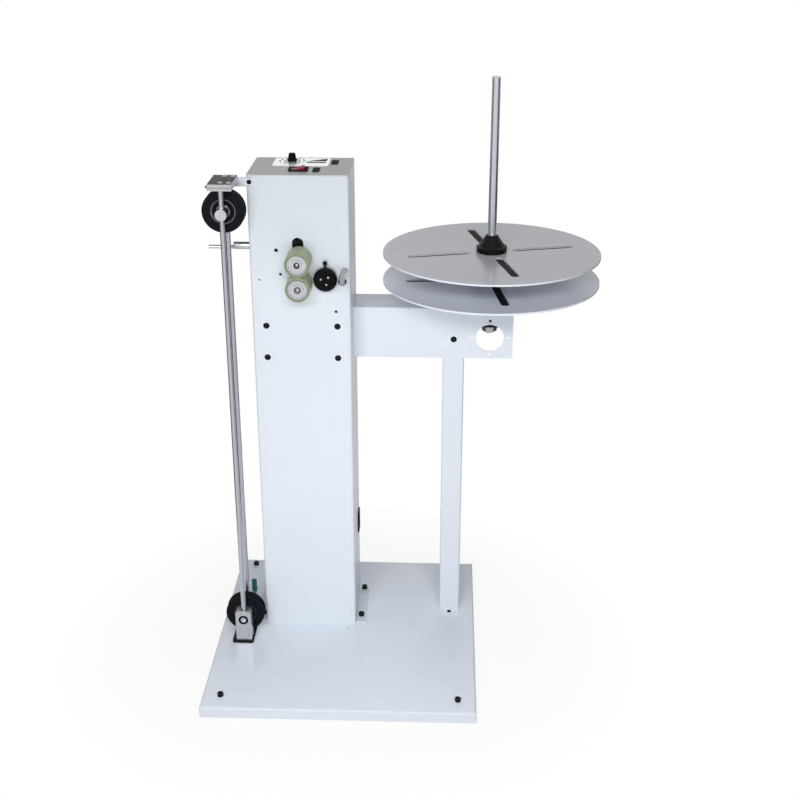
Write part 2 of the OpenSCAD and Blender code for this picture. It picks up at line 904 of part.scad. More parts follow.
module dancer_screws() {
    color(bright) {
        for (y = rods_y) {
            translate([rod_x, y, col_top])
                screw(m4, plate_t - rod_seat + rod_tap - 1);
            translate([rod_x + plate_w * 0.36, y, col_top])
                screw(m4, 6);
            translate([rod_x, y, base_top - sheet])
                mirror([0, 0, 1])
                    screw(m4, sheet + rod_tap - 1);
        }
        for (x = bar_screw_x)
            translate([x, col_front, col_top - 8])
                rotate([-90, 0, 0])
                    screw(m3, bar_t + 2);
        translate([col_l + bracket_screw_in, col_front - bar_t, bar_mid])
            screw_front(m4, bar_t + sheet + 4);
    }
}

module guide_rods() {
    low = base_top;
    high = plate_low + rod_seat;
    color(bright) for (y = rods_y)
        translate([rod_x, y, low])
            difference() {
                cylinder(d = rod_d, h = high - low);
                translate([0, 0, -1])
                    cylinder(d = m4[0] + 2 * hole_gap, h = rod_tap + 1);
                translate([0, 0, high - low - rod_tap])
                    cylinder(d = m4[0] + 2 * hole_gap, h = rod_tap + 1);
            }
}

// Cross clamp on one guide rod; side is 1 where the pulley lies behind it and -1 where it lies in front
module axle_clamp(y, side) {
    boss_end = y + side * (rod_pitch / 2 - pulley_bearing_w / 2 - seat_gap);
    half = carr_d / 2;
    difference() {
        union() {
            bar_y(clamp_d, y - half, y + half);
            bar_y(boss_d, min(y, boss_end), max(y, boss_end));
        }
        translate([0, y, -clamp_d])
            cylinder(d = rod_d + 2 * run_gap, h = 2 * clamp_d);
        bar_y(axle_d + 2 * run_gap, min(axle_stop(y, side), boss_end) - (side < 0 ? 1 : 0),
            max(axle_stop(y, side), boss_end) + (side > 0 ? 1 : 0));
    }
}

// End of an axle inside a clamp or a carriage block, clear of the guide rod
function axle_stop(y, side) = y + side * (rod_d / 2 + 1);

module axle_clamps() {
    color(bright) translate([rod_x, 0, upper_z]) {
        axle_clamp(rod_front_y, 1);
        axle_clamp(rod_rear_y, -1);
    }
}

module axle() {
    bar_y(axle_d, axle_stop(rod_front_y, 1) + fit_gap, axle_stop(rod_rear_y, -1) - fit_gap);
}

module upper_axle() {
    color(steel) translate([rod_x, 0, upper_z])
        axle();
}

module bumper_pad() {
    pad_y0 = rod_front_y - carr_d / 2 - 3;
    pad_y1 = rod_rear_y + carr_d / 2;
    color(rubber) difference() {
        translate([rod_x + (pad_right - pad_left) / 2, (pad_y0 + pad_y1) / 2, base_top])
            linear_extrude(pad_t)
                rrect(pad_w, pad_y1 - pad_y0, 3);
        for (y = rods_y)
            translate([rod_x, y, base_top - 1])
                cylinder(d = rod_d + 2 * hole_gap, h = pad_t + 2);
    }
}

// Feed drive, fixed pieces

module gear_motor() {
    color(steel) translate([roller_x, 0, drive_axis_z])
        difference() {
            union() {
                translate([0, front_in, 0])
                    rotate([-90, 0, 0])
                        linear_extrude(gear_l)
                            rrect(gear_w, gear_w, 4);
                bar_y(motor_d, front_in + gear_l - eps, front_in + gear_l + motor_l);
            }
            bar_y(shaft_d + 8 + 2 * hole_gap, front_in - 1, front_in + 6);
            bar_y(shaft_d + 2 * run_gap, front_in - 1, front_in + gear_l - 4);
        }
}

// Flanged bush in the column's front
module flange_bush(bore) {
    difference() {
        union() {
            bar_y(bore + 16, col_front - roller_off + seat_gap, col_front);
            bar_y(bore + 8 - 2 * run_gap, col_front - eps, front_in + 5);
        }
        bar_y(bore + 2 * run_gap, col_front - roller_off, front_in + 6);
    }
}

module front_bushings() {
    color(bronze) {
        translate([roller_x, 0, drive_axis_z])
            flange_bush(shaft_d);
        translate([lift_x, 0, lift_z])
            flange_bush(lift_shaft_d);
    }
}

module slide_guides() {
    low = pinch_axis_z - slide_down - 1;
    high = pinch_axis_z + slide_up + spring_len + 4;
    inner = slide_w / 2 + seat_gap;
    color(steel) translate([roller_x, 0, 0]) {
        for (s = [-1, 1])
            translate([s * (inner + rail_w / 2), 0, 0]) {
                translate([-rail_w / 2, front_in, low])
                    cube([rail_w, slide_t + seat_gap, high - low]);
                translate([-rail_w / 2 - (s > 0 ? 3 : 0), front_in + slide_t + seat_gap - eps, low])
                    cube([rail_w + 3, rail_back, high - low]);
            }
        translate([-inner - eps, front_in, high - 4])
            cube([2 * inner + 2 * eps, slide_t + seat_gap, 4]);
    }
}

module wire_guide_post() {
    tip = 3;
    r = guide_d / 2;
    color(bright) translate([guide_x, col_front, guide_z])
        difference() {
            rotate([90, 0, 0])
                rotate_extrude()
                    polygon([[0, -sheet - 5], [m6[0] / 2, -sheet - 5], [m6[0] / 2, 0], [r, 0],
                        [r, guide_len - tip], [r - tip, guide_len], [0, guide_len]]);
            translate([0, wire_y - col_front, 0])
                bar_x(wire_hole_d, -r - 1, r + 1);
        }
}

module limit_switch() {
    inner_x = col_l + sheet;
    ear_gap = lever_hub_w / 2 + seat_gap;
    color(rubber) difference() {
        union() {
            for (s = [-1, 1])
                translate([inner_x, lever_y + s * (ear_gap + ear_t / 2) - ear_t / 2, lever_axis_z - 8])
                    cube([pivot_in + 8, ear_t, 34]);
            translate([inner_x, lever_y - ear_gap - ear_t, lever_axis_z + 22])
                cube([pivot_in + 14, 2 * ear_gap + 2 * ear_t, 40]);
            translate([pivot_x, 0, lever_axis_z])
                bar_y(pivot_d, lever_y - ear_gap - eps, lever_y + ear_gap + eps);
        }
        translate([inner_x + pivot_in, lever_y, lever_axis_z + 52])
            bar_y(3.2, -ear_gap - ear_t - 1, ear_gap + ear_t + 1);
    }
}

// Electrics and panel, fixed pieces

module potentiometer() {
    color(steel) translate([speed_px, speed_py, 0])
        difference() {
            union() {
                translate([0, 0, col_top - sheet - 14])
                    cylinder(d = 24, h = 14);
                translate([0, 0, col_top - sheet - eps])
                    cylinder(d = 10, h = sheet + 1);
            }
            translate([0, 0, col_top - sheet - 8])
                cylinder(d = 6 + 2 * run_gap, h = 12);
        }
}

module rocker_frame() {
    color(black) translate([rocker_px, rocker_py, 0])
        difference() {
            union() {
                translate([0, 0, col_top])
                    linear_extrude(2)
                        rrect(rocker_w, rocker_d, 2);
                translate([-rocker_body_w / 2, -rocker_body_d / 2, col_top - rocker_deep])
                    cube([rocker_body_w, rocker_body_d, rocker_deep + eps]);
            }
            translate([-rocker_body_w / 2 + rocker_wall, -rocker_body_d / 2 + rocker_wall, col_top - rocker_deep + 4])
                cube([rocker_body_w - 2 * rocker_wall, rocker_body_d - 2 * rocker_wall, rocker_deep + 4]);
            translate([0, 0, rocker_pivot_z])
                bar_y(3 + 2 * run_gap, -rocker_body_d / 2 + 0.6, rocker_body_d / 2 - 0.6);
        }
}

module panel_blanks() {
    color(black) for (b = blanks)
        translate([b[0], b[1], col_top]) {
            linear_extrude(blank_t)
                rrect(blank_w, blank_d, 1.5);
            translate([-blank_w / 2 + 2, -blank_d / 2 + 2, -sheet - 2])
                cube([blank_w - 4, blank_d - 4, sheet + 2 + eps]);
        }
}

module power_inlet() {
    hollow_w = inlet_w - 9;
    hollow_h = inlet_h - 14;
    color(black) translate([col_r, inlet_py, inlet_pz]) {
        difference() {
            union() {
                rotate([90, 0, 90])
                    linear_extrude(inlet_flange_t)
                        rrect(inlet_w, inlet_h, 3);
                translate([-inlet_deep, -inlet_w / 2 + 2 + hole_gap, -inlet_h / 2 + 5 + hole_gap])
                    cube([inlet_deep + eps, inlet_w - 4 - 2 * hole_gap, inlet_h - 10 - 2 * hole_gap]);
            }
            translate([-inlet_deep + 4, -hollow_w / 2, -hollow_h / 2])
                cube([inlet_deep + inlet_flange_t, hollow_w, hollow_h]);
        }
        for (z = [-7, 0, 7])
            translate([-inlet_deep + 4 - eps, z == 0 ? -4.5 : 0, z - 1])
                cube([14, 4, 2]);
    }
}

module power_supply() {
    ps_w = 100;
    ps_d = 70;
    ps_h = 45;
    color(steel) translate([col_x, (front_in + col_rear) / 2, base_top])
        difference() {
            translate([-ps_w / 2, -ps_d / 2, 0])
                cube([ps_w, ps_d, ps_h]);
            for (i = [0:7])
                translate([-ps_w / 2 + 12 + i * 11, -ps_d / 2 + 12, ps_h - 1.5])
                    cube([5, ps_d - 24, 3]);
        }
}

// Turntable

// Disc with four radial slots, the first of them at the angle turn, standing on z = 0
module slotted_disc(bore, turn) {
    difference() {
        cylinder(d = disc_d, h = disc_t, $fn = 180);
        translate([0, 0, -1])
            cylinder(d = bore, h = disc_t + 2);
        for (a = [0:90:270])
            rotate([0, 0, turn + a]) {
                for (r = [slot_in + slot_w / 2, slot_out - slot_w / 2])
                    translate([r, 0, -1])
                        cylinder(d = slot_w, h = disc_t + 2);
                translate([slot_in + slot_w / 2, -slot_w / 2, -1])
                    cube([slot_out - slot_in - slot_w, slot_w, disc_t + 2]);
            }
    }
}

module disc_lower() {
    color(paint) translate([spindle_x, spindle_y, disc1_z])
        slotted_disc(hub_d + 2 * run_gap, slot_turn - slot_lag);
}

module turntable_hub() {
    h = hub_top - hub_bottom;
    color(steel) translate([spindle_x, spindle_y, hub_bottom])
        difference() {
            union() {
                cylinder(d = hub_flange_d, h = hub_low_h);
                cylinder(d = hub_d, h = h);
            }
            translate([0, 0, -1])
                cylinder(d = spindle_d + 4, h = h + 2);
            for (z = [-1, h - bearing_w])
                translate([0, 0, z])
                    cylinder(d = bearing_d + 2 * run_gap, h = bearing_w + 1);
        }
}

module hub_bearings() {
    h = hub_top - hub_bottom;
    color(bright) translate([spindle_x, spindle_y, hub_bottom])
        for (z = [0, h - bearing_w])
            translate([0, 0, z])
                bearing(bearing_d, spindle_d, bearing_w);
}

// Shielded ball bearing, standing on z = 0, with a running bore
module bearing(outer, inner, w) {
    ring = (outer - inner) / 2 * 0.28;
    groove = 0.8;
    difference() {
        cylinder(d = outer, h = w);
        translate([0, 0, -1])
            cylinder(d = inner + 2 * run_gap, h = w + 2);
        for (z = [-1, w - groove])
            translate([0, 0, z])
                difference() {
                    cylinder(d = outer - 2 * ring, h = groove + 1);
                    translate([0, 0, -1])
                        cylinder(d = inner + 2 * ring, h = groove + 3);
                }
    }
}

module disc_upper() {
    color(paint) translate([spindle_x, spindle_y, disc2_z])
        slotted_disc(spindle_d + 2 * run_gap + 1, slot_turn);
}

module spool_cone() {
    r0 = spindle_d / 2 + run_gap;
    color(black) translate([spindle_x, spindle_y, cone_z])
        rotate_extrude()
            polygon([[r0, 0], [cone_d / 2 - 1, 0], [cone_d / 2, 1], [cone_d / 2, cone_skirt],
                [cone_d / 2 - 4, cone_skirt + 2], [cone_top_d / 2, cone_h - 1], [cone_top_d / 2 - 1, cone_h],
                [r0, cone_h]]);
}

// Dancer, moving pieces

// Grooved pulley with its axis along Y, centred on y = 0
module pulley() {
    r = pulley_d / 2;
    w = pulley_w / 2;
    rim = 2.5;
    bottom = r - groove_depth;
    face = r * 0.56;
    well = 2.5;
    hub = pulley_bearing_d / 2 + 2.5;
    rotate([90, 0, 0])
        difference() {
            rotate_extrude()
                polygon([[pulley_bearing_d / 2 + run_gap, -w], [hub, -w], [hub + 1, -w + well], [face - 1, -w + well],
                    [face, -w], [r - 1, -w], [r, -w + 1], [r, -w + rim], [bottom, -2.5], [bottom, 2.5],
                    [r, w - rim], [r, w - 1], [r - 1, w], [face, w], [face - 1, w - well], [hub + 1, w - well],
                    [hub, w], [pulley_bearing_d / 2 + run_gap, w]]);
            rotate_extrude()
                translate([bottom + 0.6, 0])
                    circle(2.6);
        }
}

// Bearing in the middle of a pulley
module pulley_bearing() {
    rotate([90, 0, 0])
        translate([0, 0, -pulley_bearing_w / 2])
            bearing(pulley_bearing_d, axle_d, pulley_bearing_w);
}

module upper_pulley() {
    color(black) translate([rod_x, pulley_y, upper_z])
        pulley();
}

module upper_pulley_bearing() {
    color(bright) translate([rod_x, pulley_y, upper_z])
        pulley_bearing();
}

module lower_pulley() {
    color(black) translate([rod_x, pulley_y, lower_z])
        pulley();
}

module lower_pulley_bearing() {
    color(bright) translate([rod_x, pulley_y, lower_z])
        pulley_bearing();
}

// Carriage block on one guide rod, side as for a clamp
module carriage_block(y, side) {
    half = carr_d / 2;
    boss_end = y + side * (rod_pitch / 2 - pulley_bearing_w / 2 - seat_gap);
    bevel = 2.5;
    translate([rod_x, 0, 0])
        difference() {
            union() {
                translate([0, y + half, carr_low])
                    rotate([90, 0, 0])
                        linear_extrude(carr_d)
                            polygon([[-carr_w / 2, 0], [carr_w / 2, 0], [carr_w / 2, carr_h - bevel],
                                [carr_w / 2 - bevel, carr_h], [-carr_w / 2 + bevel, carr_h],
                                [-carr_w / 2, carr_h - bevel]]);
                translate([0, 0, lower_z])
                    bar_y(boss_d, min(y, boss_end), max(y, boss_end));
            }
            translate([0, y, carr_low - 1])
                cylinder(d = rod_d + 2, h = carr_h + 2);
            for (z = [carr_low - 1, carr_top - bush_h])
                translate([0, y, z])
                    cylinder(d = bush_d + 2 * run_gap, h = bush_h + 1);
            translate([0, 0, lower_z]) {
                bar_y(axle_d + 2 * run_gap, min(axle_stop(y, side), boss_end) - (side < 0 ? 1 : 0),
                    max(axle_stop(y, side), boss_end) + (side > 0 ? 1 : 0));
                socket(y - side * half, side);
            }
        }
}

// Round recess with a hex key socket on the outer face of a carriage block
module socket(y, side) {
    deep = 2.5;
    difference() {
        bar_y(17, y - deep, y + deep);
        bar_y(10, y - deep - 1, y + deep + 1);
    }
    translate([0, y - side * 3, 0])
        rotate([-90 * side, 0, 0])
            cylinder(d = 6 / cos(30), h = 6, $fn = 6);
}

module carriage_blocks() {
    color(bright) {
        carriage_block(rod_front_y, 1);
        carriage_block(rod_rear_y, -1);
    }
}

module carriage_bushes() {
    color(bronze) for (y = rods_y, z = [carr_low, carr_top - bush_h])
        translate([rod_x, y, z])
            difference() {
                cylinder(d = bush_d, h = bush_h);
                translate([0, 0, -1])
                    cylinder(d = rod_d + 2 * run_gap, h = bush_h + 2);
            }
}

module lower_axle() {
    color(steel) translate([rod_x, 0, lower_z])
        axle();
}

module trip_plate() {
    plate_y0 = rod_rear_y - carr_d / 2;
    plate_y1 = lever_y + trip_d / 2 + 2;
    plate_x1 = trip_x + trip_d / 2 + 1;
    color(steel) difference() {
        translate([rod_x - carr_w / 2 + 3, plate_y0, carr_top])
            cube([plate_x1 - rod_x + carr_w / 2 - 3, plate_y1 - plate_y0, trip_plate_t]);
        translate([rod_x, rod_rear_y, carr_top - 1])
            cylinder(d = rod_d + 2, h = trip_plate_t + 2);
    }
}

module trip_post() {
    r = trip_d / 2;
    color(teal) translate([trip_x, lever_y, carr_top + trip_plate_t])
        rotate_extrude()
            polygon([[0, 0], [r, 0], [r, trip_h - 2], [r - 2, trip_h], [0, trip_h]]);
}

// Feed rollers, moving pieces

// Turned roller hub with its axis along Y: a rim, a dished face and a bore
module roller_hub(bore) {
    well = 1.5;
    difference() {
        bar_y(2 * hub_r - 2 * fit_gap, roller_y0, roller_y1);
        bar_y(bore, roller_y0 - 1, roller_y1 + 1);
        translate([0, roller_y0, 0])
            rotate([90, 0, 0])
                rotate_extrude()
                    polygon([[bore / 2 + 3, 1], [bore / 2 + 3, 0], [bore / 2 + 4, -well], [hub_r - 2.5, -well],
                        [hub_r - 1.5, 0], [hub_r - 1.5, 1]]);
    }
}

// Tyre of a roller, with rounded shoulders
module roller_tyre() {
    r = roller_d / 2;
    soft = 1.2;
    translate([0, roller_y1, 0])
        rotate([90, 0, 0])
            rotate_extrude()
                polygon([[hub_r, 0], [r - soft, 0], [r, soft], [r, roller_len - soft], [r - soft, roller_len],
                    [hub_r, roller_len]]);
}

module drive_hub() {
    color(bright) translate([roller_x, 0, drive_axis_z])
        roller_hub(shaft_d + 2 * fit_gap);
}

module drive_tyre() {
    color(tyre_green) translate([roller_x, 0, drive_axis_z])
        roller_tyre();
}

module drive_shaft() {
    color(steel) translate([roller_x, 0, drive_axis_z])
        difference() {
            bar_y(shaft_d, roller_y0 + 1, front_in + gear_l - 5);
            translate([0, roller_y0 + 5, 0])
                rotate([90, 0, 0])
                    cylinder(d = 6, h = 6, $fn = 6);
        }
}

module pinch_block() {
    color(steel) translate([roller_x, 0, pinch_axis_z]) {
        difference() {
            union() {
                translate([-slide_w / 2, front_in + seat_gap, -slide_down])
                    cube([slide_w, slide_t - seat_gap, slide_down + slide_up]);
                pinch_nose();
                bar_y(pinch_d, roller_y0 + 2, front_in + 1);
                translate([-9 + seat_gap, front_in + slide_t - eps, -slide_down + 1])
                    cube([18 - 2 * seat_gap, cam_y0 + cam_t - front_in - slide_t, 22]);
                translate([0, cam_y0, follower_low + follower_step - pinch_axis_z])
                    cube([lift_dx + follower_w, cam_t, follower_h]);
                translate([lift_dx, cam_y0, follower_low - pinch_axis_z])
                    cube([follower_w, cam_t, follower_step + eps]);
            }
            translate([0, front_in + slide_t / 2 + seat_gap / 2, slide_up - 5])
                cylinder(d = spring_d + 1, h = 6);
            translate([0, roller_y0 + 6, 0])
                rotate([90, 0, 0])
                    cylinder(d = 5, h = 6, $fn = 6);
        }
    }
}

// Nose of the pinch block, sliding in the slot of the column's front
module pinch_nose() {
    w = pinch_slot_w - 2 * nose_gap;
    for (z = [-nose_down + w / 2, nose_up - w / 2])
        translate([-pinch_slot_left, 0, z])
            bar_y(w, col_front, front_in + seat_gap + eps);
    translate([-pinch_slot_left - w / 2, col_front, -nose_down + w / 2])
        cube([w, sheet + seat_gap + eps, nose_up + nose_down - w]);
}

// Pinch spring: one wire wound on a helix between the block and the guide's bridge
spring_y = front_in + slide_t / 2 + seat_gap / 2;
spring_low = pinch_axis_z + slide_up - 5 + spring_wire / 2 + seat_gap;
spring_high = pinch_axis_z + slide_up + spring_len - spring_wire / 2 - seat_gap;
spring_r = spring_d / 2 - spring_wire / 2;
spring_steps = 8 * spring_turns;
spring_sides = 6;
spring_pitch = (spring_high - spring_low) / spring_turns;
echo(spring_gap = spring_pitch - spring_wire);

// Point on the wire's surface at one step along the helix and one turn around the wire
function spring_point(step, side) =
    let (a = 360 * step / 8, b = 360 * side / spring_sides, r = spring_r + spring_wire / 2 * cos(b))
    [roller_x + r * cos(a), spring_y + r * sin(a),
        spring_low + spring_pitch * step / 8 + spring_wire / 2 * sin(b)];

module pinch_spring() {
    points = [for (i = [0:spring_steps], j = [0:spring_sides - 1]) spring_point(i, j)];
    n = spring_sides;
    walls = [for (i = [0:spring_steps - 1], j = [0:n - 1], half = [0, 1])
        let (a = i * n + j, b = i * n + (j + 1) % n)
        half == 0 ? [a, a + n, b] : [b, a + n, b + n]];
    first = [for (j = [1:n - 2]) [0, j, j + 1]];
    last = [for (j = [1:n - 2]) [spring_steps * n, spring_steps * n + j + 1, spring_steps * n + j]];
    color(bright) polyhedron(points, concat(walls, first, last));
}

module pinch_hub() {
    color(bright) translate([roller_x, 0, pinch_axis_z])
        roller_hub(pinch_d + 2 * run_gap);
}

module pinch_tyre() {
    color(tyre_green) translate([roller_x, 0, pinch_axis_z])
        roller_tyre();
}

// Lift knob, moving pieces

module lift_knob() {
    r = lift_d / 2;
    color(black) translate([lift_x, lift_y0 + lift_t, lift_z])
        difference() {
            rotate([90, 0, 0])
                rotate_extrude()
                    polygon([[0, lift_t], [r - 3, lift_t], [r, lift_t - 2.5], [r, 1], [r - 1, 0],
                        [lift_shaft_d / 2 + fit_gap, 0], [lift_shaft_d / 2 + fit_gap, lift_t - 4], [0, lift_t - 4]]);
            for (a = [45, 165, 285])
                rotate([0, -a, 0])
                    translate([7, -lift_t - eps, 0])
                        bar_y(m3[0], 0, 3);
            translate([0, -lift_t / 2, r - 8])
                cylinder(d = pin_d + 2 * fit_gap, h = 10);
        }
}

module lift_pin() {
    r = lift_d / 2;
    color(black) translate([lift_x, lift_y0 + lift_t / 2, lift_z]) {
        translate([0, 0, r - 7])
            cylinder(d = pin_d, h = pin_len + 7 - 2);
        translate([0, 0, r + pin_len - 5])
            rotate_extrude()
                polygon([[0, 0], [pin_d, 0], [pin_d + 0.1, 1], [pin_d + 0.1, 4], [pin_d - 1, 5], [0, 5]]);
    }
}

// Spiral cam: its radius grows steadily over the knob's turn, so the lift follows the turn in proportion
function cam_point(a) =
    let (r = a < 0 ? cam_r : a > lift_turn ? cam_r + pinch_lift : cam_r + pinch_lift * a / lift_turn)
    [-r * sin(a), r * cos(a)];

module lift_cam() {
    rise = [for (i = [0:24]) cam_point(lift_turn * i / 24)];
    color(steel) translate([lift_x, 0, lift_z]) {
        bar_y(lift_shaft_d, lift_y0 + 4 + fit_gap, cam_y0 + cam_t);
        translate([0, cam_y0 + cam_t, 0])
            rotate([90, 0, 0])
                linear_extrude(cam_t)
                    polygon(concat(rise, [[-7, 0], [-6, -6], [0, -8], [6, -6], [8, 0], [5, cam_r - 3]]));
    }
}

module limit_lever() {
    color(bright) translate([0, lever_y, lever_axis_z]) {
        difference() {
            union() {
                translate([pivot_x, 0, 0])
                    bar_y(lever_hub_d, -lever_hub_w / 2, lever_hub_w / 2);
                bar_x(lever_d, col_l - lever_out, pivot_x);
            }
            translate([pivot_x, 0, 0])
                bar_y(pivot_d + 2 * run_gap, -lever_hub_w, lever_hub_w);
        }
        translate([0, 0, (lever_tip_d - lever_d) / 2 + 0.5])
            bar_x(lever_tip_d, col_l - lever_out - lever_tip, col_l - lever_out + eps);
    }
}

module speed_knob() {
    r = speed_d / 2;
    color(black) translate([speed_px, speed_py, col_top])
        difference() {
            union() {
                translate([0, 0, 1 + seat_gap])
                    rotate_extrude()
                        polygon([[0, 0], [r, 0], [r, 2], [r - 1.5, 3], [r - 2.5, speed_h - 1],
                            [r - 3.5, speed_h], [0, speed_h]]);
                translate([0, 0, -sheet - 7])
                    cylinder(d = 6, h = sheet + 9);
            }
            translate([-0.6, 0, speed_h + seat_gap + 0.3])
                cube([1.2, r, 2]);
            for (i = [0:13])
                rotate([0, 0, (i + 0.5) * 360 / 14])
                    translate([r - 1.4, 0, 1 + seat_gap + 3.5])
                        cylinder(d = 1.4, h = speed_h, $fn = 24);
        }
}

module rocker_paddle() {
    half = rocker_body_w / 2 - rocker_wall - 1.5;
    depth = rocker_body_d - 2 * rocker_wall - 2 * seat_gap;
    color([0.78, 0.10, 0.14]) translate([rocker_px, rocker_py, rocker_pivot_z])
        rotate([0, -rocker_tilt, 0]) {
            translate([0, depth / 2, 0])
                rotate([90, 0, 0])
                    linear_extrude(depth)
                        polygon([[-half, 5], [0, 3.6], [half, 5], [half - 1, -2], [3, -5], [-3, -5], [-half + 1, -2]]);
            bar_y(3, -rocker_body_d / 2 + 1, rocker_body_d / 2 - 1);
        }
}

base_tray();
rubber_feet();
base_screws();
column_shell();
top_panel();
rear_cover();
cover_screws();
arm_beam();
arm_screws();
arm_spacers();
nuts();
leg_post();
spindle();
spindle_block();
spindle_collar();
dancer_top_plate();
dancer_bracket();
dancer_screws();
guide_rods();
upper_axle();
axle_clamps();
bumper_pad();
gear_motor();
front_bushings();
slide_guides();
wire_guide_post();
limit_switch();
potentiometer();
rocker_frame();
panel_blanks();
power_inlet();
power_supply();
disc_lower();
turntable_hub();
hub_bearings();
disc_upper();
spool_cone();
upper_pulley();
upper_pulley_bearing();
carriage_blocks();
carriage_bushes();
lower_axle();
trip_plate();
trip_post();
lower_pulley();
lower_pulley_bearing();
drive_hub();
drive_tyre();
drive_shaft();
pinch_block();
pinch_spring();
pinch_hub();
pinch_tyre();
lift_knob();
lift_pin();
lift_cam();
limit_lever();
speed_knob();
rocker_paddle();
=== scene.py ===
"""Looks of the wire pay-off machine.

Camera, studio light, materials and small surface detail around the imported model.
"""

import json
import math

import bmesh
import bpy
from mathutils import Matrix, Vector


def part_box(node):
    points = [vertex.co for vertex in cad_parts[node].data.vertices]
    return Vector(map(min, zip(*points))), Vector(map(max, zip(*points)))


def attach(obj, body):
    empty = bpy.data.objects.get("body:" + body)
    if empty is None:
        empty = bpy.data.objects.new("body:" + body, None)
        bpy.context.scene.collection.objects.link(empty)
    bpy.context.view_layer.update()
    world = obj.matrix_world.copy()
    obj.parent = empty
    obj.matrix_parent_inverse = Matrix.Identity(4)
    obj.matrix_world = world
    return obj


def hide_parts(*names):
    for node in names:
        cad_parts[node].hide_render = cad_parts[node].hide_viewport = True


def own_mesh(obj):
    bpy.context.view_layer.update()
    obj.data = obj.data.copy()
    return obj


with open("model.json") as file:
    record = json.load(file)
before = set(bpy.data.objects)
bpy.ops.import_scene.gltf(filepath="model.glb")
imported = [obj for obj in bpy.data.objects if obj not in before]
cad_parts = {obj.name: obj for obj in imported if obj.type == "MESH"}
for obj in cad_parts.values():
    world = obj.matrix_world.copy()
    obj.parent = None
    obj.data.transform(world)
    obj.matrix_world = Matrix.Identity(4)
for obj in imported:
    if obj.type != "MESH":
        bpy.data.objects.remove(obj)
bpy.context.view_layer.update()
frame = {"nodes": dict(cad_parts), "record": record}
nodes = frame["nodes"]
scene = bpy.context.scene

MM = 0.001

# Camera, fitted to the photograph in the model's own frame
CAMERA_PLACE = (0.1641, -1.9277, 1.2918)
CAMERA_DOWN_DEG = 23.131
CAMERA_LEFT_DEG = 2.117
CAMERA_REACH = 20
FOCAL_PX = 1273.6
PHOTO_PX = 800
SENSOR_MM = 36

# Studio, in metres and watts; a tone is a share of white
WORLD_FILL = 0.11
LAMPS = (
    dict(name="front_softbox", place=(0.0, -2.30, 1.90), target=(0.0, 0.1, 0.55), size=(1.9, 0.4), watts=33,
         tint=(1.0, 0.995, 0.985)),
    dict(name="rear_softbox", place=(0.2, 2.4, 0.75), target=(0.0, 0.1, 0.40), size=(1.7, 0.5), watts=15,
         mirrored=False),
    dict(name="low_front", place=(0.0, -0.90, 0.58), target=(0.0, -0.2, 0.0), size=(1.0, 0.25), watts=4.8,
         tint=(0.96, 0.98, 1.0), mirrored=False),
)
# Dark cards beside the set: name, place along X, and whether it darkens paint too
SIDE_FLAGS = (("left_flag", -2.3, False), ("right_flag", 2.0, True))
SIDE_FLAG_Y = (-1.1, 0.5)
SIDE_FLAG_TOP = 1.5
SIDE_FLAG_TONE = 0.05
# Dark cards close above the floor: name, and reach along X
FLOOR_FLAGS = (("left_floor_flag", -0.6, -4.0), ("right_floor_flag", 0.7, 4.0))
FLOOR_FLAG_Y = (-0.4, 3.0)
FLOOR_FLAG_Z = 0.01
FLOOR_FLAG_TONE = 0.06
# The floor shows a share of its own shading near the middle, which fades out between two distances from there
FLOOR_HALF = 6
FLOOR_TONE = 0.92
FLOOR_SHADE = 0.11
FLOOR_FADE = (0.28, 0.56)


def make_camera():
    data = bpy.data.cameras.new("camera")
    data.sensor_fit = "HORIZONTAL"
    data.sensor_width = SENSOR_MM
    data.lens = FOCAL_PX * SENSOR_MM / PHOTO_PX
    data.clip_end = CAMERA_REACH
    camera = bpy.data.objects.new("camera", data)
    camera.location = CAMERA_PLACE
    camera.rotation_euler = (math.radians(90 - CAMERA_DOWN_DEG), 0, math.radians(CAMERA_LEFT_DEG))
    scene.collection.objects.link(camera)
    scene.camera = camera


def seen_as_background(tree):
    """1 for camera, glossy and transmission rays, which see the white backdrop.

    It is 0 for the rays that light the object.
    """
    path = tree.nodes.new("ShaderNodeLightPath")
    total = path.outputs["Is Camera Ray"]
    for name in ("Is Glossy Ray", "Is Transmission Ray"):
        add = tree.nodes.new("ShaderNodeMath")
        add.operation = "MAXIMUM"
        tree.links.new(total, add.inputs[0])
        tree.links.new(path.outputs[name], add.inputs[1])
        total = add.outputs[0]
    return total


def make_world():
    world = bpy.data.worlds.new("studio")
    world.use_nodes = True
    scene.world = world
    tree = world.node_tree
    background = tree.nodes["Background"]
    background.inputs["Color"].default_value = (1, 1, 1, 1)
    strength = tree.nodes.new("ShaderNodeMix")
    strength.inputs["A"].default_value = WORLD_FILL
    strength.inputs["B"].default_value = 1
    tree.links.new(seen_as_background(tree), strength.inputs["Factor"])
    tree.links.new(strength.outputs["Result"], background.inputs["Strength"])


def area_light(name, place, target, size, watts, tint=(1, 1, 1), mirrored=True):
    data = bpy.data.lights.new(name, "AREA")
    data.shape = "RECTANGLE"
    data.size, data.size_y = size
    data.energy = watts
    data.color = tint
    light = bpy.data.objects.new(name, data)
    light.location = place
    light.rotation_euler = (Vector(target) - Vector(place)).to_track_quat("-Z", "Y").to_euler()
    light.visible_camera = False
    light.visible_glossy = mirrored
    scene.collection.objects.link(light)


def flat_quad(name, corners):
    mesh = bpy.data.meshes.new(name)
    mesh.from_pydata(corners, [], [(0, 1, 2, 3)])
    quad = bpy.data.objects.new(name, mesh)
    scene.collection.objects.link(quad)
    return quad


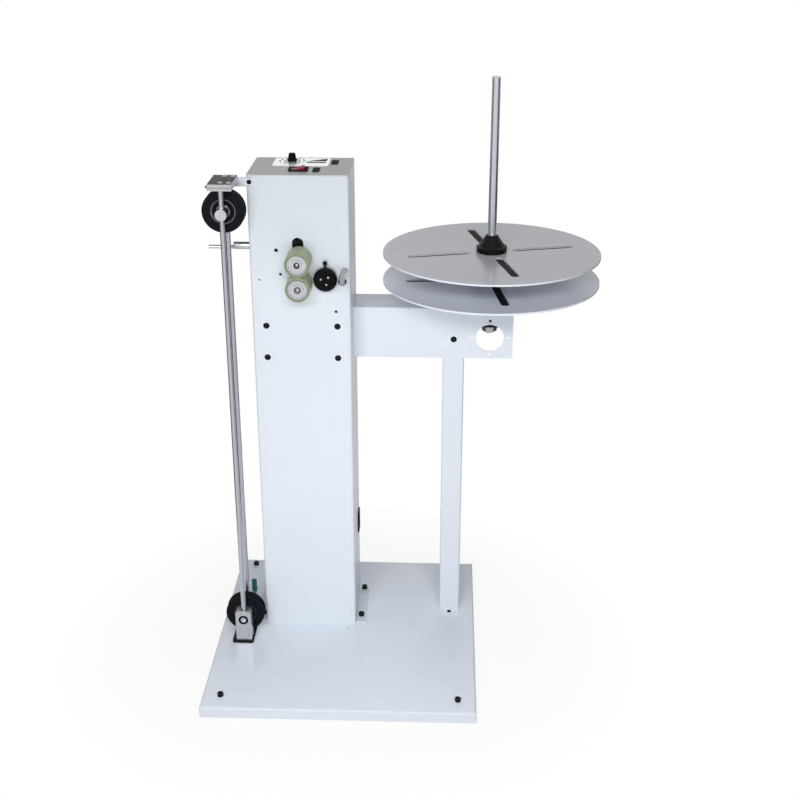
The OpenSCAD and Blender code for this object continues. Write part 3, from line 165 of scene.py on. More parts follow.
def make_floor():
    """White floor for the eye; close to the object it shows a share of its own shading, and so the shadow."""
    half = FLOOR_HALF
    floor = flat_quad("floor", [(-half, -half, 0), (half, -half, 0), (half, half, 0), (-half, half, 0)])
    material = bpy.data.materials.new("floor")
    material.use_nodes = True
    tree = material.node_tree
    tree.nodes.clear()

    def node(kind, **values):
        made = tree.nodes.new(kind)
        for name, value in values.items():
            made.inputs[name.replace("_", " ")].default_value = value
        return made

    def maths(operation, a, b):
        made = node("ShaderNodeMath")
        made.operation = operation
        for socket, value in zip(made.inputs, (a, b)):
            if hasattr(value, "is_output"):
                tree.links.new(value, socket)
            else:
                socket.default_value = value
        return made.outputs[0]

    place = node("ShaderNodeTexCoord")
    length = node("ShaderNodeVectorMath")
    length.operation = "LENGTH"
    tree.links.new(place.outputs["Object"], length.inputs[0])
    near, far = FLOOR_FADE
    fade = node("ShaderNodeMapRange", From_Min=near, From_Max=far, To_Min=FLOOR_SHADE, To_Max=0.0)
    fade.interpolation_type = "SMOOTHSTEP"
    tree.links.new(length.outputs["Value"], fade.inputs["Value"])
    white = maths("MULTIPLY", seen_as_background(tree), maths("SUBTRACT", 1.0, fade.outputs["Result"]))
    lit = node("ShaderNodeBsdfDiffuse", Color=(FLOOR_TONE, FLOOR_TONE, FLOOR_TONE, 1))
    glow = node("ShaderNodeEmission", Strength=1.0)
    blend = node("ShaderNodeMixShader")
    out = node("ShaderNodeOutputMaterial")
    tree.links.new(white, blend.inputs["Fac"])
    tree.links.new(lit.outputs[0], blend.inputs[1])
    tree.links.new(glow.outputs[0], blend.inputs[2])
    tree.links.new(blend.outputs[0], out.inputs["Surface"])
    floor.data.materials.append(material)


def make_card(name, corners, tone, shading=False):
    """Dark card for reflections to see, so that bright bars show their roundness.

    With shading it darkens paint too.
    """
    card = flat_quad(name, corners)
    material = bpy.data.materials.new(name)
    material.use_nodes = True
    surface = material.node_tree.nodes["Principled BSDF"]
    surface.inputs["Base Color"].default_value = (tone, tone, tone, 1)
    surface.inputs["Roughness"].default_value = 1.0
    card.data.materials.append(material)
    card.visible_camera = False
    card.visible_diffuse = shading
    card.visible_shadow = False
    card.visible_transmission = False


def make_studio():
    make_camera()
    make_world()
    for lamp in LAMPS:
        area_light(**lamp)
    front, back = SIDE_FLAG_Y
    for name, x, shading in SIDE_FLAGS:
        corners = [(x, front, 0), (x, back, 0), (x, back, SIDE_FLAG_TOP), (x, front, SIDE_FLAG_TOP)]
        make_card(name, corners, SIDE_FLAG_TONE, shading)
    front, back = FLOOR_FLAG_Y
    for name, near, far in FLOOR_FLAGS:
        corners = [(x, y, FLOOR_FLAG_Z) for x, y in ((near, front), (far, front), (far, back), (near, back))]
        make_card(name, corners, FLOOR_FLAG_TONE)
    make_floor()
    scene.view_settings.view_transform = "Standard"


# Shader helpers

# Span in which most of a noise lies
NOISE_LOW = 0.3
NOISE_HIGH = 0.7
# Search for sharp edges: its reach in metres, its samples, and the cosines of turn between which an edge fades
EDGE_REACH = 0.0008
EDGE_SAMPLES = 4
EDGE_TURN = (0.80, 0.99)
# Limits of the upward share of a normal between which a face comes to look up
LOOKS_UP = (0.5, 0.8)


def srgb(r, g, b):
    """Linear colour of an sRGB value from 0 to 255."""
    def linear(v):
        v /= 255
        return v / 12.92 if v <= 0.04045 else ((v + 0.055) / 1.055) ** 2.4
    return (linear(r), linear(g), linear(b), 1)


def darker(colour, share):
    """Linear colour of an sRGB value, with its light cut to a share."""
    return tuple(v * share for v in srgb(*colour)[:3]) + (1,)


def stretched(axis, along, across):
    """Texture scale with one factor along an axis and another across it."""
    return tuple(along if name == axis else across for name in "XYZ")


class Shader:
    """A node material with one Principled shader, and short ways to add the textures that drive it."""

    def __init__(self, name, metallic=0.0, roughness=0.5, ior=1.5, specular=0.5):
        self.material = bpy.data.materials.new(name)
        self.material.use_nodes = True
        self.tree = self.material.node_tree
        self.out = self.tree.nodes["Principled BSDF"]
        self.set("Metallic", metallic)
        self.set("Roughness", roughness)
        self.set("IOR", ior)
        self.set("Specular IOR Level", specular)
        place = self.tree.nodes.new("ShaderNodeTexCoord")
        self.place = place.outputs["Object"]

    def set(self, socket, value):
        self.out.inputs[socket].default_value = value

    def link(self, output, socket):
        self.tree.links.new(output, self.out.inputs[socket])

    def fill(self, socket, value):
        """Link a socket to an output, or set it to a plain value."""
        if hasattr(value, "is_output"):
            self.tree.links.new(value, socket)
        else:
            socket.default_value = value

    def node(self, kind, **inputs):
        """New node with its inputs filled by name, or by number where the name is i0, i1 and so on."""
        made = self.tree.nodes.new(kind)
        for name, value in inputs.items():
            numbered = name[0] == "i" and name[1:].isdigit()
            self.fill(made.inputs[int(name[1:]) if numbered else name], value)
        return made

    def math(self, operation, a, b=0.0):
        made = self.node("ShaderNodeMath", i0=a, i1=b)
        made.operation = operation
        return made.outputs[0]

    def scaled(self, factors):
        """Texture place stretched by a factor on each axis."""
        return self.node("ShaderNodeMapping", Vector=self.place, Scale=factors).outputs[0]

    def noise(self, scale, detail=3.0, roughness=0.55, place=None):
        made = self.node("ShaderNodeTexNoise", Vector=place or self.place, Scale=scale, Detail=detail,
                         Roughness=roughness)
        return made.outputs["Fac"]

    def range(self, value, low, high, to_low, to_high):
        made = self.node("ShaderNodeMapRange", Value=value)
        for name, limit in (("From Min", low), ("From Max", high), ("To Min", to_low), ("To Max", to_high)):
            made.inputs[name].default_value = limit
        return made.outputs["Result"]

    def vary(self, noise, low=0, high=1):
        """A noise's usual span drawn out between two values."""
        return self.range(noise, NOISE_LOW, NOISE_HIGH, low, high)

    def mix(self, factor, a, b):
        made = self.tree.nodes.new("ShaderNodeMix")
        made.data_type = "RGBA"
        for socket, value in ((made.inputs[0], factor), (made.inputs[6], a), (made.inputs[7], b)):
            self.fill(socket, value)
        return made.outputs[2]

    def edges(self):
        """1 along sharp edges, 0 elsewhere: where a rounded normal leaves the surface's own."""
        soft = self.node("ShaderNodeBevel", Radius=EDGE_REACH)
        soft.samples = EDGE_SAMPLES
        shape = self.tree.nodes.new("ShaderNodeNewGeometry")
        turn = self.node("ShaderNodeVectorMath", i0=soft.outputs["Normal"], i1=shape.outputs["Normal"])
        turn.operation = "DOT_PRODUCT"
        return self.range(turn.outputs["Value"], *EDGE_TURN, 1, 0)

    def facing(self, axis):
        """Share by which a surface faces along an axis of the model, from -1 to 1."""
        place = self.tree.nodes.new("ShaderNodeTexCoord")
        return self.node("ShaderNodeSeparateXYZ", Vector=place.outputs["Normal"]).outputs[axis]

    def facing_up(self, blend=LOOKS_UP):
        """1 on faces that look up, 0 elsewhere, with a blend between two limits."""
        return self.range(self.facing("Z"), *blend, 0, 1)

    def bump(self, height, strength, distance, under=None):
        made = self.node("ShaderNodeBump", Height=height, Strength=strength, Distance=distance)
        if under:
            self.tree.links.new(under, made.inputs["Normal"])
        return made.outputs["Normal"]

    def band(self, value, low, high, soft):
        """1 where a value lies between two limits, with soft ends."""
        rise = self.range(value, low - soft, low, 0, 1)
        return self.math("MULTIPLY", rise, self.range(value, high, high + soft, 1, 0))

    def radius(self, centre, axis):
        """Distance of a point from a line through centre along X, Y or Z."""
        parts = self.node("ShaderNodeSeparateXYZ", Vector=self.place)
        squares = []
        for i, name in enumerate("XYZ"):
            if name != axis:
                off = self.math("SUBTRACT", parts.outputs[name], centre[i])
                squares.append(self.math("MULTIPLY", off, off))
        return self.math("SQRT", self.math("ADD", *squares))


# Materials. Where a roughness varies over a wide face, it stays on one side of 0.274: the denoiser takes a
# smoother surface for a mirror, and draws the border between the two as a blot.

# Limits between which the painted shade of a side gives way to the tone of the top
SIDE_SHADE_BLEND = (0.85, 0.98)
# Tones, as sRGB values from 0 to 255; the first two are steps from a material's own tone
SPECK_DROP = 22
STAIN_RISE = 70
RUBBED_PAINT = (196, 198, 202)
MILLED_EDGE = (226, 227, 230)
TURNED_EDGE = (232, 233, 236)
# Black of the painted shade in the carriage block's recess around the axle
PAINTED_RING_SHADE = (24, 24, 26)
TREAD_DUST = (150, 156, 132)
TYRE_SEAM = (58, 64, 44)
RUBBED_INK = (150, 152, 155)


def powder_coat(name, colour, shade, gloss=0.34, sides=None):
    """Sprayed powder coat: faint orange peel, a slow drift of tone and rubbed edges.

    The tone given for the sides goes on the faces that don't look up; the step between it and the top's tone
    is painted light and shade.
    """
    s = Shader(name, roughness=gloss, ior=1.48)
    tone = s.mix(s.vary(s.noise(2.2, detail=3)), srgb(*colour), srgb(*shade))
    # Painted light and shade: faces that look up and faces that don't take different tones.
    if sides:
        tone = s.mix(s.facing_up(SIDE_SHADE_BLEND), srgb(*sides), tone)
    speck = s.range(s.noise(420, detail=2), 0.74, 0.80, 0, 0.25)
    tone = s.mix(speck, tone, srgb(*[v - SPECK_DROP for v in shade]))
    rub = s.math("MULTIPLY", s.edges(), s.range(s.noise(70, detail=5), 0.45, 0.7, 0.05, 0.5))
    s.link(s.mix(rub, tone, srgb(*RUBBED_PAINT)), "Base Color")
    smear = s.noise(11, detail=5, roughness=0.65, place=s.scaled(stretched("Z", 0.4, 1)))
    s.link(s.vary(smear, gloss - 0.04, gloss + 0.06), "Roughness")
    peel = s.bump(s.noise(420, detail=2, roughness=0.5), strength=0.02, distance=0.0003)
    fine = s.noise(2200, detail=1, roughness=0.5)
    s.link(s.bump(fine, strength=0.02, distance=0.0001, under=peel), "Normal")
    return s.material


def drawn_metal(name, colour, roughness, along="Z", dark=0.86):
    """Ground bar: fine lines along its length with patches of handling."""
    s = Shader(name, metallic=1.0, roughness=roughness)
    lines = s.noise(1, detail=2, roughness=0.5, place=s.scaled(stretched(along, 3, 420)))
    patch = s.noise(16, detail=4)
    tone = s.mix(s.range(lines, 0.25, 0.75, 0, 1), srgb(*colour), darker(colour, dark))
    s.link(s.mix(s.range(patch, 0.5, 0.8, 0, 0.3), tone, darker(colour, dark - 0.1)), "Base Color")
    s.link(s.vary(patch, roughness - 0.03, roughness + 0.06), "Roughness")
    s.link(s.bump(lines, strength=0.012, distance=0.0001), "Normal")
    return s.material


def reflection_painted_bar(name, colour, line):
    """Polished cross bar with a painted reflection: a bright front between dark lines painted along its upper
    and lower sides, where it would reflect dark surroundings.
    """
    s = Shader(name, metallic=0.7, roughness=0.22)
    # Painted reflection: the faces that tilt up or down take the dark line tone.
    painted_reflection = s.range(s.math("ABSOLUTE", s.facing("Z")), 0.62, 0.86, 0, 0.92)
    grain = s.vary(s.noise(60, detail=3, roughness=0.55, place=s.scaled(stretched("X", 0.3, 6))))
    tone = s.mix(grain, srgb(*colour), darker(colour, 0.82))
    s.link(s.mix(painted_reflection, tone, srgb(*line)), "Base Color")
    s.link(s.range(grain, 0, 1, 0.18, 0.30), "Roughness")
    s.link(s.bump(grain, strength=0.02, distance=0.0001), "Normal")
    return s.material


def milled_metal(name, colour, roughness, along="X", top=None, ring=None):
    """Milled or sawn face: coarser tool marks and bright worn edges.

    top gives the top face another tone, and ring = (centre, low, high) paints a black ring of shade around a
    line along Y.
    """
    s = Shader(name, metallic=1.0, roughness=roughness)
    dark = darker(colour, 0.80)
    marks = s.noise(1, detail=3, roughness=0.6, place=s.scaled(stretched(along, 30, 520)))
    patch = s.noise(45, detail=4)
    tone = s.mix(s.vary(marks), srgb(*colour), dark)
    tone = s.mix(s.range(patch, 0.5, 0.8, 0, 0.4), tone, dark)
    if top:
        blot = s.range(s.noise(260, detail=4), 0.52, 0.66, 0, 1)
        stain = s.mix(blot, srgb(*top), srgb(*[v + STAIN_RISE for v in top]))
        up = s.facing_up()
        tone = s.mix(up, tone, stain)
        s.set("Specular IOR Level", 0.06)
        s.link(s.math("SUBTRACT", 1.0, up), "Metallic")
    tone = s.mix(s.math("MULTIPLY", s.edges(), 0.7), tone, srgb(*MILLED_EDGE))
    # Painted shade: a black ring in the recess around the axle.
    if ring:
        centre, low, high = ring
        tone = s.mix(s.band(s.radius(centre, "Y"), low, high, 0.3 * MM), tone, srgb(*PAINTED_RING_SHADE))
    s.link(tone, "Base Color")
    s.link(s.vary(patch, roughness - 0.06, roughness + 0.12), "Roughness")
    s.link(s.bump(marks, strength=0.12, distance=0.0001), "Normal")
    return s.material


def turned_metal(name, colour, centre, axis):
    """Lathe-turned face: concentric tool marks around the piece's own axis, with their fan of light."""
    roughness = 0.26
    rings_per_m = 1600
    s = Shader(name, metallic=1.0, roughness=roughness)
    s.set("Anisotropic", 0.6)
    round_axis = s.tree.nodes.new("ShaderNodeTangent")
    round_axis.direction_type = "RADIAL"
    round_axis.axis = axis
    s.link(round_axis.outputs["Tangent"], "Tangent")
    ring = s.node("ShaderNodeTexNoise", Scale=1.0, Detail=2.0)
    ring.noise_dimensions = "1D"
    s.tree.links.new(s.math("MULTIPLY", s.radius(centre, axis), rings_per_m), ring.inputs["W"])
    groove = ring.outputs["Fac"]
    tone = s.mix(s.range(groove, 0.35, 0.65, 0, 1), srgb(*colour), darker(colour, 0.74))
    s.link(s.mix(s.math("MULTIPLY", s.edges(), 0.6), tone, srgb(*TURNED_EDGE)), "Base Color")
    s.link(s.vary(s.noise(90, detail=3), roughness - 0.06, roughness + 0.10), "Roughness")
    s.link(s.bump(groove, strength=0.22, distance=0.00012), "Normal")
    return s.material


def moulded(name, colour, roughness, grain, depth, wear_and_highlight=(70, 70, 72), wear_and_highlight_share=0.55, specular=0.15, top=None,
            ring=None):
    """Moulded plastic, rubber or black oxide: fine grain, uneven sheen, paler rubbed edges, which on the
    blackened slide are also a painted highlight.

    top gives the faces that look up another tone, which on the rocker paddle is a painted shade, and ring =
    (centre, low, high, tone) paints a highlight ring around a line along Y.
    """
    s = Shader(name, roughness=roughness, ior=1.49, specular=specular)
    tone = s.mix(s.vary(s.noise(35, detail=4)), srgb(*colour), darker(colour, 0.78))
    # On the rocker paddle this is painted shade: its faces that look up take a darker red.
    if top:
        tone = s.mix(s.facing_up(), tone, srgb(*top))
    # Paler rubbed edges: wear, and on the blackened slide also a painted highlight along its edges.
    rub = s.math("MULTIPLY", s.edges(), s.range(s.noise(160, detail=4), 0.4, 0.7, 0, wear_and_highlight_share))
    tone = s.mix(rub, tone, srgb(*wear_and_highlight))
    if ring:
        centre, low, high, highlight_tone = ring
        # Painted highlight: a ring of lighter tone around the axis, broken up by noise.
        painted_highlight = s.band(s.radius(centre, "Y"), low, high, 0.4 * MM)
        painted_highlight = s.math("MULTIPLY", painted_highlight, s.range(s.noise(120, detail=3), 0.25, 0.6, 0.6, 1))
        tone = s.mix(painted_highlight, tone, srgb(*highlight_tone))
    s.link(tone, "Base Color")
    s.link(s.vary(s.noise(28, detail=4), roughness - 0.07, roughness + 0.12), "Roughness")
    s.link(s.bump(s.noise(grain, detail=3), strength=depth, distance=0.0002), "Normal")
    return s.material


def screw_set(name, bright, black, black_from_x):
    """Screws of one set: zinc-plated, and black from a place along X on."""
    s = Shader(name, roughness=0.34, specular=0.15)
    parts = s.node("ShaderNodeSeparateXYZ", Vector=s.place)
    plated = s.math("LESS_THAN", parts.outputs["X"], black_from_x)
    patch = s.vary(s.noise(160, detail=4))
    black_tone, bright_tone = (s.mix(patch, srgb(*colour), darker(colour, 0.7)) for colour in (black, bright))
    s.link(s.mix(plated, black_tone, bright_tone), "Base Color")
    s.link(plated, "Metallic")
    s.link(s.vary(s.noise(60, detail=3), 0.28, 0.44), "Roughness")
    s.link(s.bump(s.noise(500, detail=2), strength=0.08, distance=0.0001), "Normal")
    return s.material


def polyurethane(name, centre, hub_r, colour=(194, 206, 172), shade=(184, 197, 160)):
    """Cast polyurethane tyre: slightly clear and satin, with a dusty tread and darker sides.

    A dark line runs around its hub, at hub_r from the axis through centre.
    """
    s = Shader(name, roughness=0.42, ior=1.5, specular=0.3)
    s.set("Subsurface Weight", 0.15)
    s.set("Subsurface Radius", (0.004, 0.004, 0.002))
    s.set("Subsurface Scale", 0.6)
    cloud = s.vary(s.noise(40, detail=4))
    tone = s.mix(cloud, srgb(*colour), srgb(*shade))
    track = s.noise(1, detail=3, roughness=0.6, place=s.scaled(stretched("Y", 420, 3)))
    tone = s.mix(s.range(track, 0.45, 0.75, 0, 0.5), tone, srgb(*TREAD_DUST))
    flank = s.range(s.math("ABSOLUTE", s.facing("Y")), 0.6, 0.9, 0, 1)
    tone = s.mix(flank, tone, s.mix(cloud, darker(colour, 0.50), darker(shade, 0.46)))
    seam = s.band(s.radius(centre, "Y"), hub_r - 0.2 * MM, hub_r + 0.5 * MM, 0.4 * MM)
    s.link(s.mix(s.math("MULTIPLY", seam, 0.8), tone, srgb(*TYRE_SEAM)), "Base Color")
    s.link(s.vary(s.noise(30, detail=4), 0.34, 0.55), "Roughness")
    s.link(s.bump(s.noise(700, detail=3), strength=0.10, distance=0.0002), "Normal")
    return s.material


def printed(name, colour, ink_wear, metallic=0.0, specular=0.25):
    """Printed foil or ink: satin, a little uneven, rubbed through in places."""
    s = Shader(name, metallic=metallic, roughness=0.38, ior=1.46, specular=specular)
    rub = s.range(s.noise(300, detail=4), 0.5, 0.75, 0, ink_wear)
    s.link(s.mix(rub, srgb(*colour), srgb(*RUBBED_INK)), "Base Color")
    s.link(s.vary(s.noise(60, detail=3), 0.30, 0.48), "Roughness")
    s.link(s.bump(s.noise(900, detail=2), strength=0.05, distance=0.0001), "Normal")
    return s.material


# Radii in mm: the painted highlight ring on a pulley's web, the painted ring of shade at the carriage's axle,
# and a tyre's bore
WEB_HIGHLIGHT_RING = (17.8, 19.2)
AXLE_SHADE_RING = (5.0, 8.5)
TYRE_BORE_R = 15.5
# The dancer's screws are black from this place along X on, where they hold the bracket to the column
BLACK_SCREWS_X = -0.155


def centre_of(node):
    low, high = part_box(node)
    return (low + high) / 2


def make_materials():
    drive, pinch = centre_of("drive_hub"), centre_of("pinch_hub")
    upper, lower = centre_of("upper_pulley"), centre_of("lower_pulley")
    web_highlight = [r * MM for r in WEB_HIGHLIGHT_RING]
    axle_shade_ring = (lower, *[r * MM for r in AXLE_SHADE_RING])
    bore = TYRE_BORE_R * MM
    hub_tone = (214, 216, 220)
    pulley = dict(colour=(11, 12, 19), roughness=0.46, grain=700, depth=0.10, wear_and_highlight=(44, 44, 48),
                  specular=0.12)
    return {
        "white": powder_coat("white_powder_coat", (224, 230, 238), (220, 226, 235)),
        # The leg's faces that look up are painted lighter than its sides: painted light.
        "leg_white": powder_coat("leg_coat_painted_light", (246, 249, 254), (243, 246, 252), sides=(222, 228, 237)),
        # The top panel takes a darker copy of the white coat: painted shade on the column's top.
        "panel_white": powder_coat("panel_coat_painted_shade", (210, 213, 218), (205, 208, 214)),
        # The base's top is painted lighter than the white coat and its sides darker: painted light and painted
        # shade.
        "base_white": powder_coat("base_coat_painted_light_and_shade", (238, 244, 254), (235, 241, 252), gloss=0.20,
                                  sides=(210, 216, 225)),
        "disc_grey": powder_coat("disc_coat", (234, 238, 247), (230, 235, 244), gloss=0.20),
        "rod_steel": drawn_metal("ground_rod", (192, 195, 203), 0.32),
        "post_steel": drawn_metal("guide_post_bar", (172, 173, 177), 0.20, along="Y", dark=0.62),
        "spindle_steel": drawn_metal("spindle_bar", (198, 202, 211), 0.32),
        # The lever's dark lines along its upper and lower sides are a painted reflection.
        "lever_steel": reflection_painted_bar("lever_bar_painted_reflection", (214, 216, 219), line=(28, 29, 31)),
        "axle_steel": drawn_metal("axle_bar", (180, 183, 188), 0.24, along="Y"),
        "shaft_steel": drawn_metal("drive_shaft_bar", (112, 114, 119), 0.30, along="Y"),
        "zinc": milled_metal("zinc_plate", (178, 180, 184), 0.32),
        "dark_plate": milled_metal("top_plate_metal", (200, 201, 204), 0.30, top=(30, 30, 32)),
        "aluminium": milled_metal("milled_aluminium", (200, 202, 206), 0.34, along="Z"),
        # The carriage block takes a painted ring of shade around the lower pulley's axle.
        "block_aluminium": milled_metal("carriage_aluminium", (206, 208, 212), 0.34, along="Z",
                                        ring=axle_shade_ring),
        "bronze": milled_metal("sintered_bronze", (128, 116, 98), 0.40),
        "drive_face": turned_metal("turned_drive_hub", hub_tone, drive, "Y"),
        "pinch_face": turned_metal("turned_pinch_hub", hub_tone, pinch, "Y"),
        "clamp_face": turned_metal("turned_clamp", (212, 214, 218), centre_of("axle_clamps"), "Y"),
        "hub_face": turned_metal("turned_spindle_hub", (190, 192, 196), centre_of("spindle"), "Z"),
        "dancer_set": screw_set("dancer_screw_set", (186, 188, 192), (16, 16, 18), BLACK_SCREWS_X),
        "drive_pu": polyurethane("drive_polyurethane", drive, bore),
        "pinch_pu": polyurethane("pinch_polyurethane", pinch, bore),
        "rubber": moulded("black_rubber", (24, 24, 26), 0.62, grain=500, depth=0.2),
        "nylon": moulded("black_nylon", (14, 14, 18), 0.46, grain=700, depth=0.10, wear_and_highlight=(52, 52, 56),
                         specular=0.14),
        # The web rings of the pulleys are painted highlights, lighter on the upper pulley than on the lower
        # one.
        "upper_nylon": moulded("upper_pulley_painted_highlight", ring=(upper, *web_highlight, (132, 134, 140)), **pulley),
        "lower_nylon": moulded("lower_pulley_painted_highlight", ring=(lower, *web_highlight, (66, 68, 74)), **pulley),
        "gloss_black": moulded("gloss_black", (9, 9, 12), 0.27, grain=400, depth=0.03, wear_and_highlight=(60, 60, 64),
                               specular=0.10),
        "matt_black": moulded("matt_black", (22, 22, 25), 0.55, grain=500, depth=0.06, wear_and_highlight=(60, 60, 64),
                              specular=0.03),
        "screw_black": moulded("black_oxide", (14, 14, 17), 0.36, grain=600, depth=0.06, wear_and_highlight=(80, 81, 84),
                               specular=0.16),
        "dark_steel": moulded("blackened_steel", (28, 29, 32), 0.40, grain=300, depth=0.1,
                              wear_and_highlight=(110, 111, 114)),
        # The pale edges of the blackened slide are partly wear and partly a painted highlight along its edges.
        "slide_black": moulded("blackened_slide", (12, 12, 14), 0.42, grain=300, depth=0.08,
                               wear_and_highlight=(176, 178, 180), wear_and_highlight_share=0.9, specular=0.14),
        # The red paddle's faces that look up take a darker red: painted shade.
        "red": moulded("red_plastic", (196, 42, 78), 0.30, grain=500, depth=0.04, wear_and_highlight=(226, 130, 150),
                       specular=0.25, top=(150, 30, 58)),
        "teal": moulded("teal_plastic", (34, 92, 104), 0.40, grain=600, depth=0.08, wear_and_highlight=(96, 140, 150),
                        specular=0.2),
        "foil": printed("dial_foil", (238, 239, 241), 0.15, metallic=1.0),
        "ink": printed("black_ink", (16, 16, 18), 0.12, specular=0.03),
        "white_ink": printed("white_ink", (226, 226, 224), 0.30),
    }


NODE_LOOK = {
    "white": ["column_shell", "rear_cover", "arm_beam", "dancer_bracket"],
    "leg_white": ["leg_post"],
    "panel_white": ["top_panel"],
    "base_white": ["base_tray"],
    "disc_grey": ["disc_lower", "disc_upper"],
    "rod_steel": ["guide_rods"],
    "post_steel": ["wire_guide_post"],
    "spindle_steel": ["spindle"],
    "lever_steel": ["limit_lever"],
    "axle_steel": ["upper_axle", "lower_axle"],
    "shaft_steel": ["drive_shaft"],
    "zinc": ["arm_spacers", "nuts", "spindle_collar", "gear_motor", "slide_guides", "potentiometer",
             "hub_bearings", "upper_pulley_bearing", "lower_pulley_bearing", "trip_plate", "pinch_spring",
             "lift_cam"],
    "dark_plate": ["dancer_top_plate"],
    "aluminium": ["power_supply"],
    "block_aluminium": ["carriage_blocks"],
    "bronze": ["front_bushings", "carriage_bushes"],
    "drive_face": ["drive_hub"],
    "pinch_face": ["pinch_hub"],
    "clamp_face": ["axle_clamps"],
    "hub_face": ["turntable_hub"],
    "dancer_set": ["dancer_screws"],
    "drive_pu": ["drive_tyre"],
    "pinch_pu": ["pinch_tyre"],
    "rubber": ["rubber_feet", "bumper_pad"],
    "nylon": ["spool_cone", "limit_switch", "power_inlet"],
    "upper_nylon": ["upper_pulley"],
    "lower_nylon": ["lower_pulley"],
    "gloss_black": ["lift_knob", "lift_pin"],
    "matt_black": ["speed_knob", "rocker_frame", "panel_blanks"],
    "screw_black": ["base_screws", "cover_screws", "arm_screws"],
    "dark_steel": ["spindle_block"],
    "slide_black": ["pinch_block"],
    "red": ["rocker_paddle"],
    "teal": ["trip_post"],
}


def dress_nodes(looks):
    for look, names in NODE_LOOK.items():
        for name in names:
            mesh = nodes[name].data
            mesh.materials.clear()
            mesh.materials.append(looks[look])


# Shapes of the small pieces. An edge that turns by more than the piece's angle stays sharp.

EDGE_DEG = 35
PLATE_EDGE_DEG = 2
HEAD_EDGE_DEG = 40


def add_piece(name, bm, material, body, smooth_deg=EDGE_DEG):
    mesh = bpy.data.meshes.new(name)
    bmesh.ops.recalc_face_normals(bm, faces=bm.faces)
    bm.to_mesh(mesh)
    bm.free()
    mesh.materials.append(material)
    mesh.shade_smooth()
    mesh.set_sharp_from_angle(angle=math.radians(smooth_deg))
    piece = bpy.data.objects.new(name, mesh)
    scene.collection.objects.link(piece)
    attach(piece, body)
    return piece


def skin(bm, rings):
    """Faces between neighbouring rings of equal count."""
    for low, high in zip(rings, rings[1:]):
        for i in range(len(low)):
            j = (i + 1) % len(low)
            bm.faces.new((low[i], low[j], high[j], high[i]))


def ring_points(r, count):
    turns = [2 * math.pi * i / count for i in range(count)]
    return [(r * math.cos(a), r * math.sin(a)) for a in turns]


def circle(r, z, count):
    return [(x, y, z) for x, y in ring_points(r, count)]


def hexagon(r, z, count):
    """Ring of points on a hexagon's outline, so that it meets a circle of the same count."""
    points = []
    for i in range(count):
        a = 2 * math.pi * i / count
        reach = r / math.cos((a + math.pi / 6) % (math.pi / 3) - math.pi / 6)
        points.append((reach * math.cos(a), reach * math.sin(a), z))
    return points


# Button head of a screw: its wall as a share of its height, and its dome's rings as shares of its radius.
# Its socket: rim, mouth and floor as shares of the key's radius, and for the last two also the share of the
# head's height at which they lie.
HEAD_SIDES = 24
HEAD_WALL = 0.25
HEAD_DOME = (0.93, 0.82, 0.68)
SOCKET_RIM = 1.3
SOCKET_MOUTH = (1, 0.98)
SOCKET_FLOOR = (0.96, 0.35)


def button_head(bm, place, size_mm):
    """Button head of a screw with a hex socket, seated on its place's z = 0.

    size_mm is its radius, its height and the radius of its key.
    """
    head_r, head_h, key_r = (v * MM for v in size_mm)
    count = HEAD_SIDES
    rings = [circle(head_r, 0, count), circle(head_r, head_h * HEAD_WALL, count)]
    for share in HEAD_DOME:
        rise = math.sqrt(1 - share ** 2)
        rings.append(circle(head_r * share, head_h * (HEAD_WALL + (1 - HEAD_WALL) * rise), count))
    rings.append(circle(key_r * SOCKET_RIM, head_h, count))
    for wide, high in (SOCKET_MOUTH, SOCKET_FLOOR):
        rings.append(hexagon(key_r * wide, head_h * high, count))
    made = [[bm.verts.new(place @ Vector(point)) for point in ring] for ring in rings]
    skin(bm, made)
    bm.faces.new(list(reversed(made[0])))
    bm.faces.new(made[-1])


def rounded_outline(w, d, r, steps=6):
    points = []
    for k, (sx, sy) in enumerate(((1, 1), (-1, 1), (-1, -1), (1, -1))):
        for i in range(steps + 1):
            a = math.pi / 2 * (k + i / steps)
            points.append((sx * (w / 2 - r) + r * math.cos(a), sy * (d / 2 - r) + r * math.sin(a)))
    return points


HOLE_SIDES = 32


def thin_plate(bm, outline, thick, bevel, place, hole=None):
    """Plate with a softened upper edge, and a round hole where one is given as (centre, radius)."""
    spans = [max(values) - min(values) for values in zip(*outline)]
    inner = [tuple(v * (1 - 2 * bevel / span) for v, span in zip(point, spans)) for point in outline]
    levels = ((outline, 0), (outline, thick - bevel), (inner, thick))
    made = [[bm.verts.new(place @ Vector((x, y, z))) for x, y in points] for points, z in levels]
    skin(bm, made)
    if not hole:
        for cap in (made[0], made[-1]):
            bm.faces.new(cap)
        return
    centre, radius = hole
    walls = []
    for z, cap in ((0, made[0]), (thick, made[-1])):
        points = ring_points(radius, HOLE_SIDES)
        loop = [bm.verts.new(place @ Vector((centre[0] + x, centre[1] + y, z))) for x, y in points]
        edges = [bm.edges.new((loop[i], loop[(i + 1) % HOLE_SIDES])) for i in range(HOLE_SIDES)]
        edges += [bm.edges.get((cap[i], cap[(i + 1) % len(cap)])) for i in range(len(cap))]
        bmesh.ops.triangle_fill(bm, use_beauty=True, edges=edges)
        walls.append(loop)
    skin(bm, walls)


# Printed line: the rounding of its ends as a share of its width, and its bevel as a share of its thickness
MARK_ROUND = 0.45
MARK_STEPS = 3
MARK_BEVEL = 0.3


def bar_mark(bm, place, w, d, thick):
    """Short printed line with rounded ends."""
    outline = rounded_outline(w, d, min(w, d) * MARK_ROUND, MARK_STEPS)
    thin_plate(bm, outline, thick, thick * MARK_BEVEL, place)


# Digits: half their thickness in mm, and what their strokes gain as a share of their height
NUMERAL_HALF = 0.05
NUMERAL_GAIN = 0.03


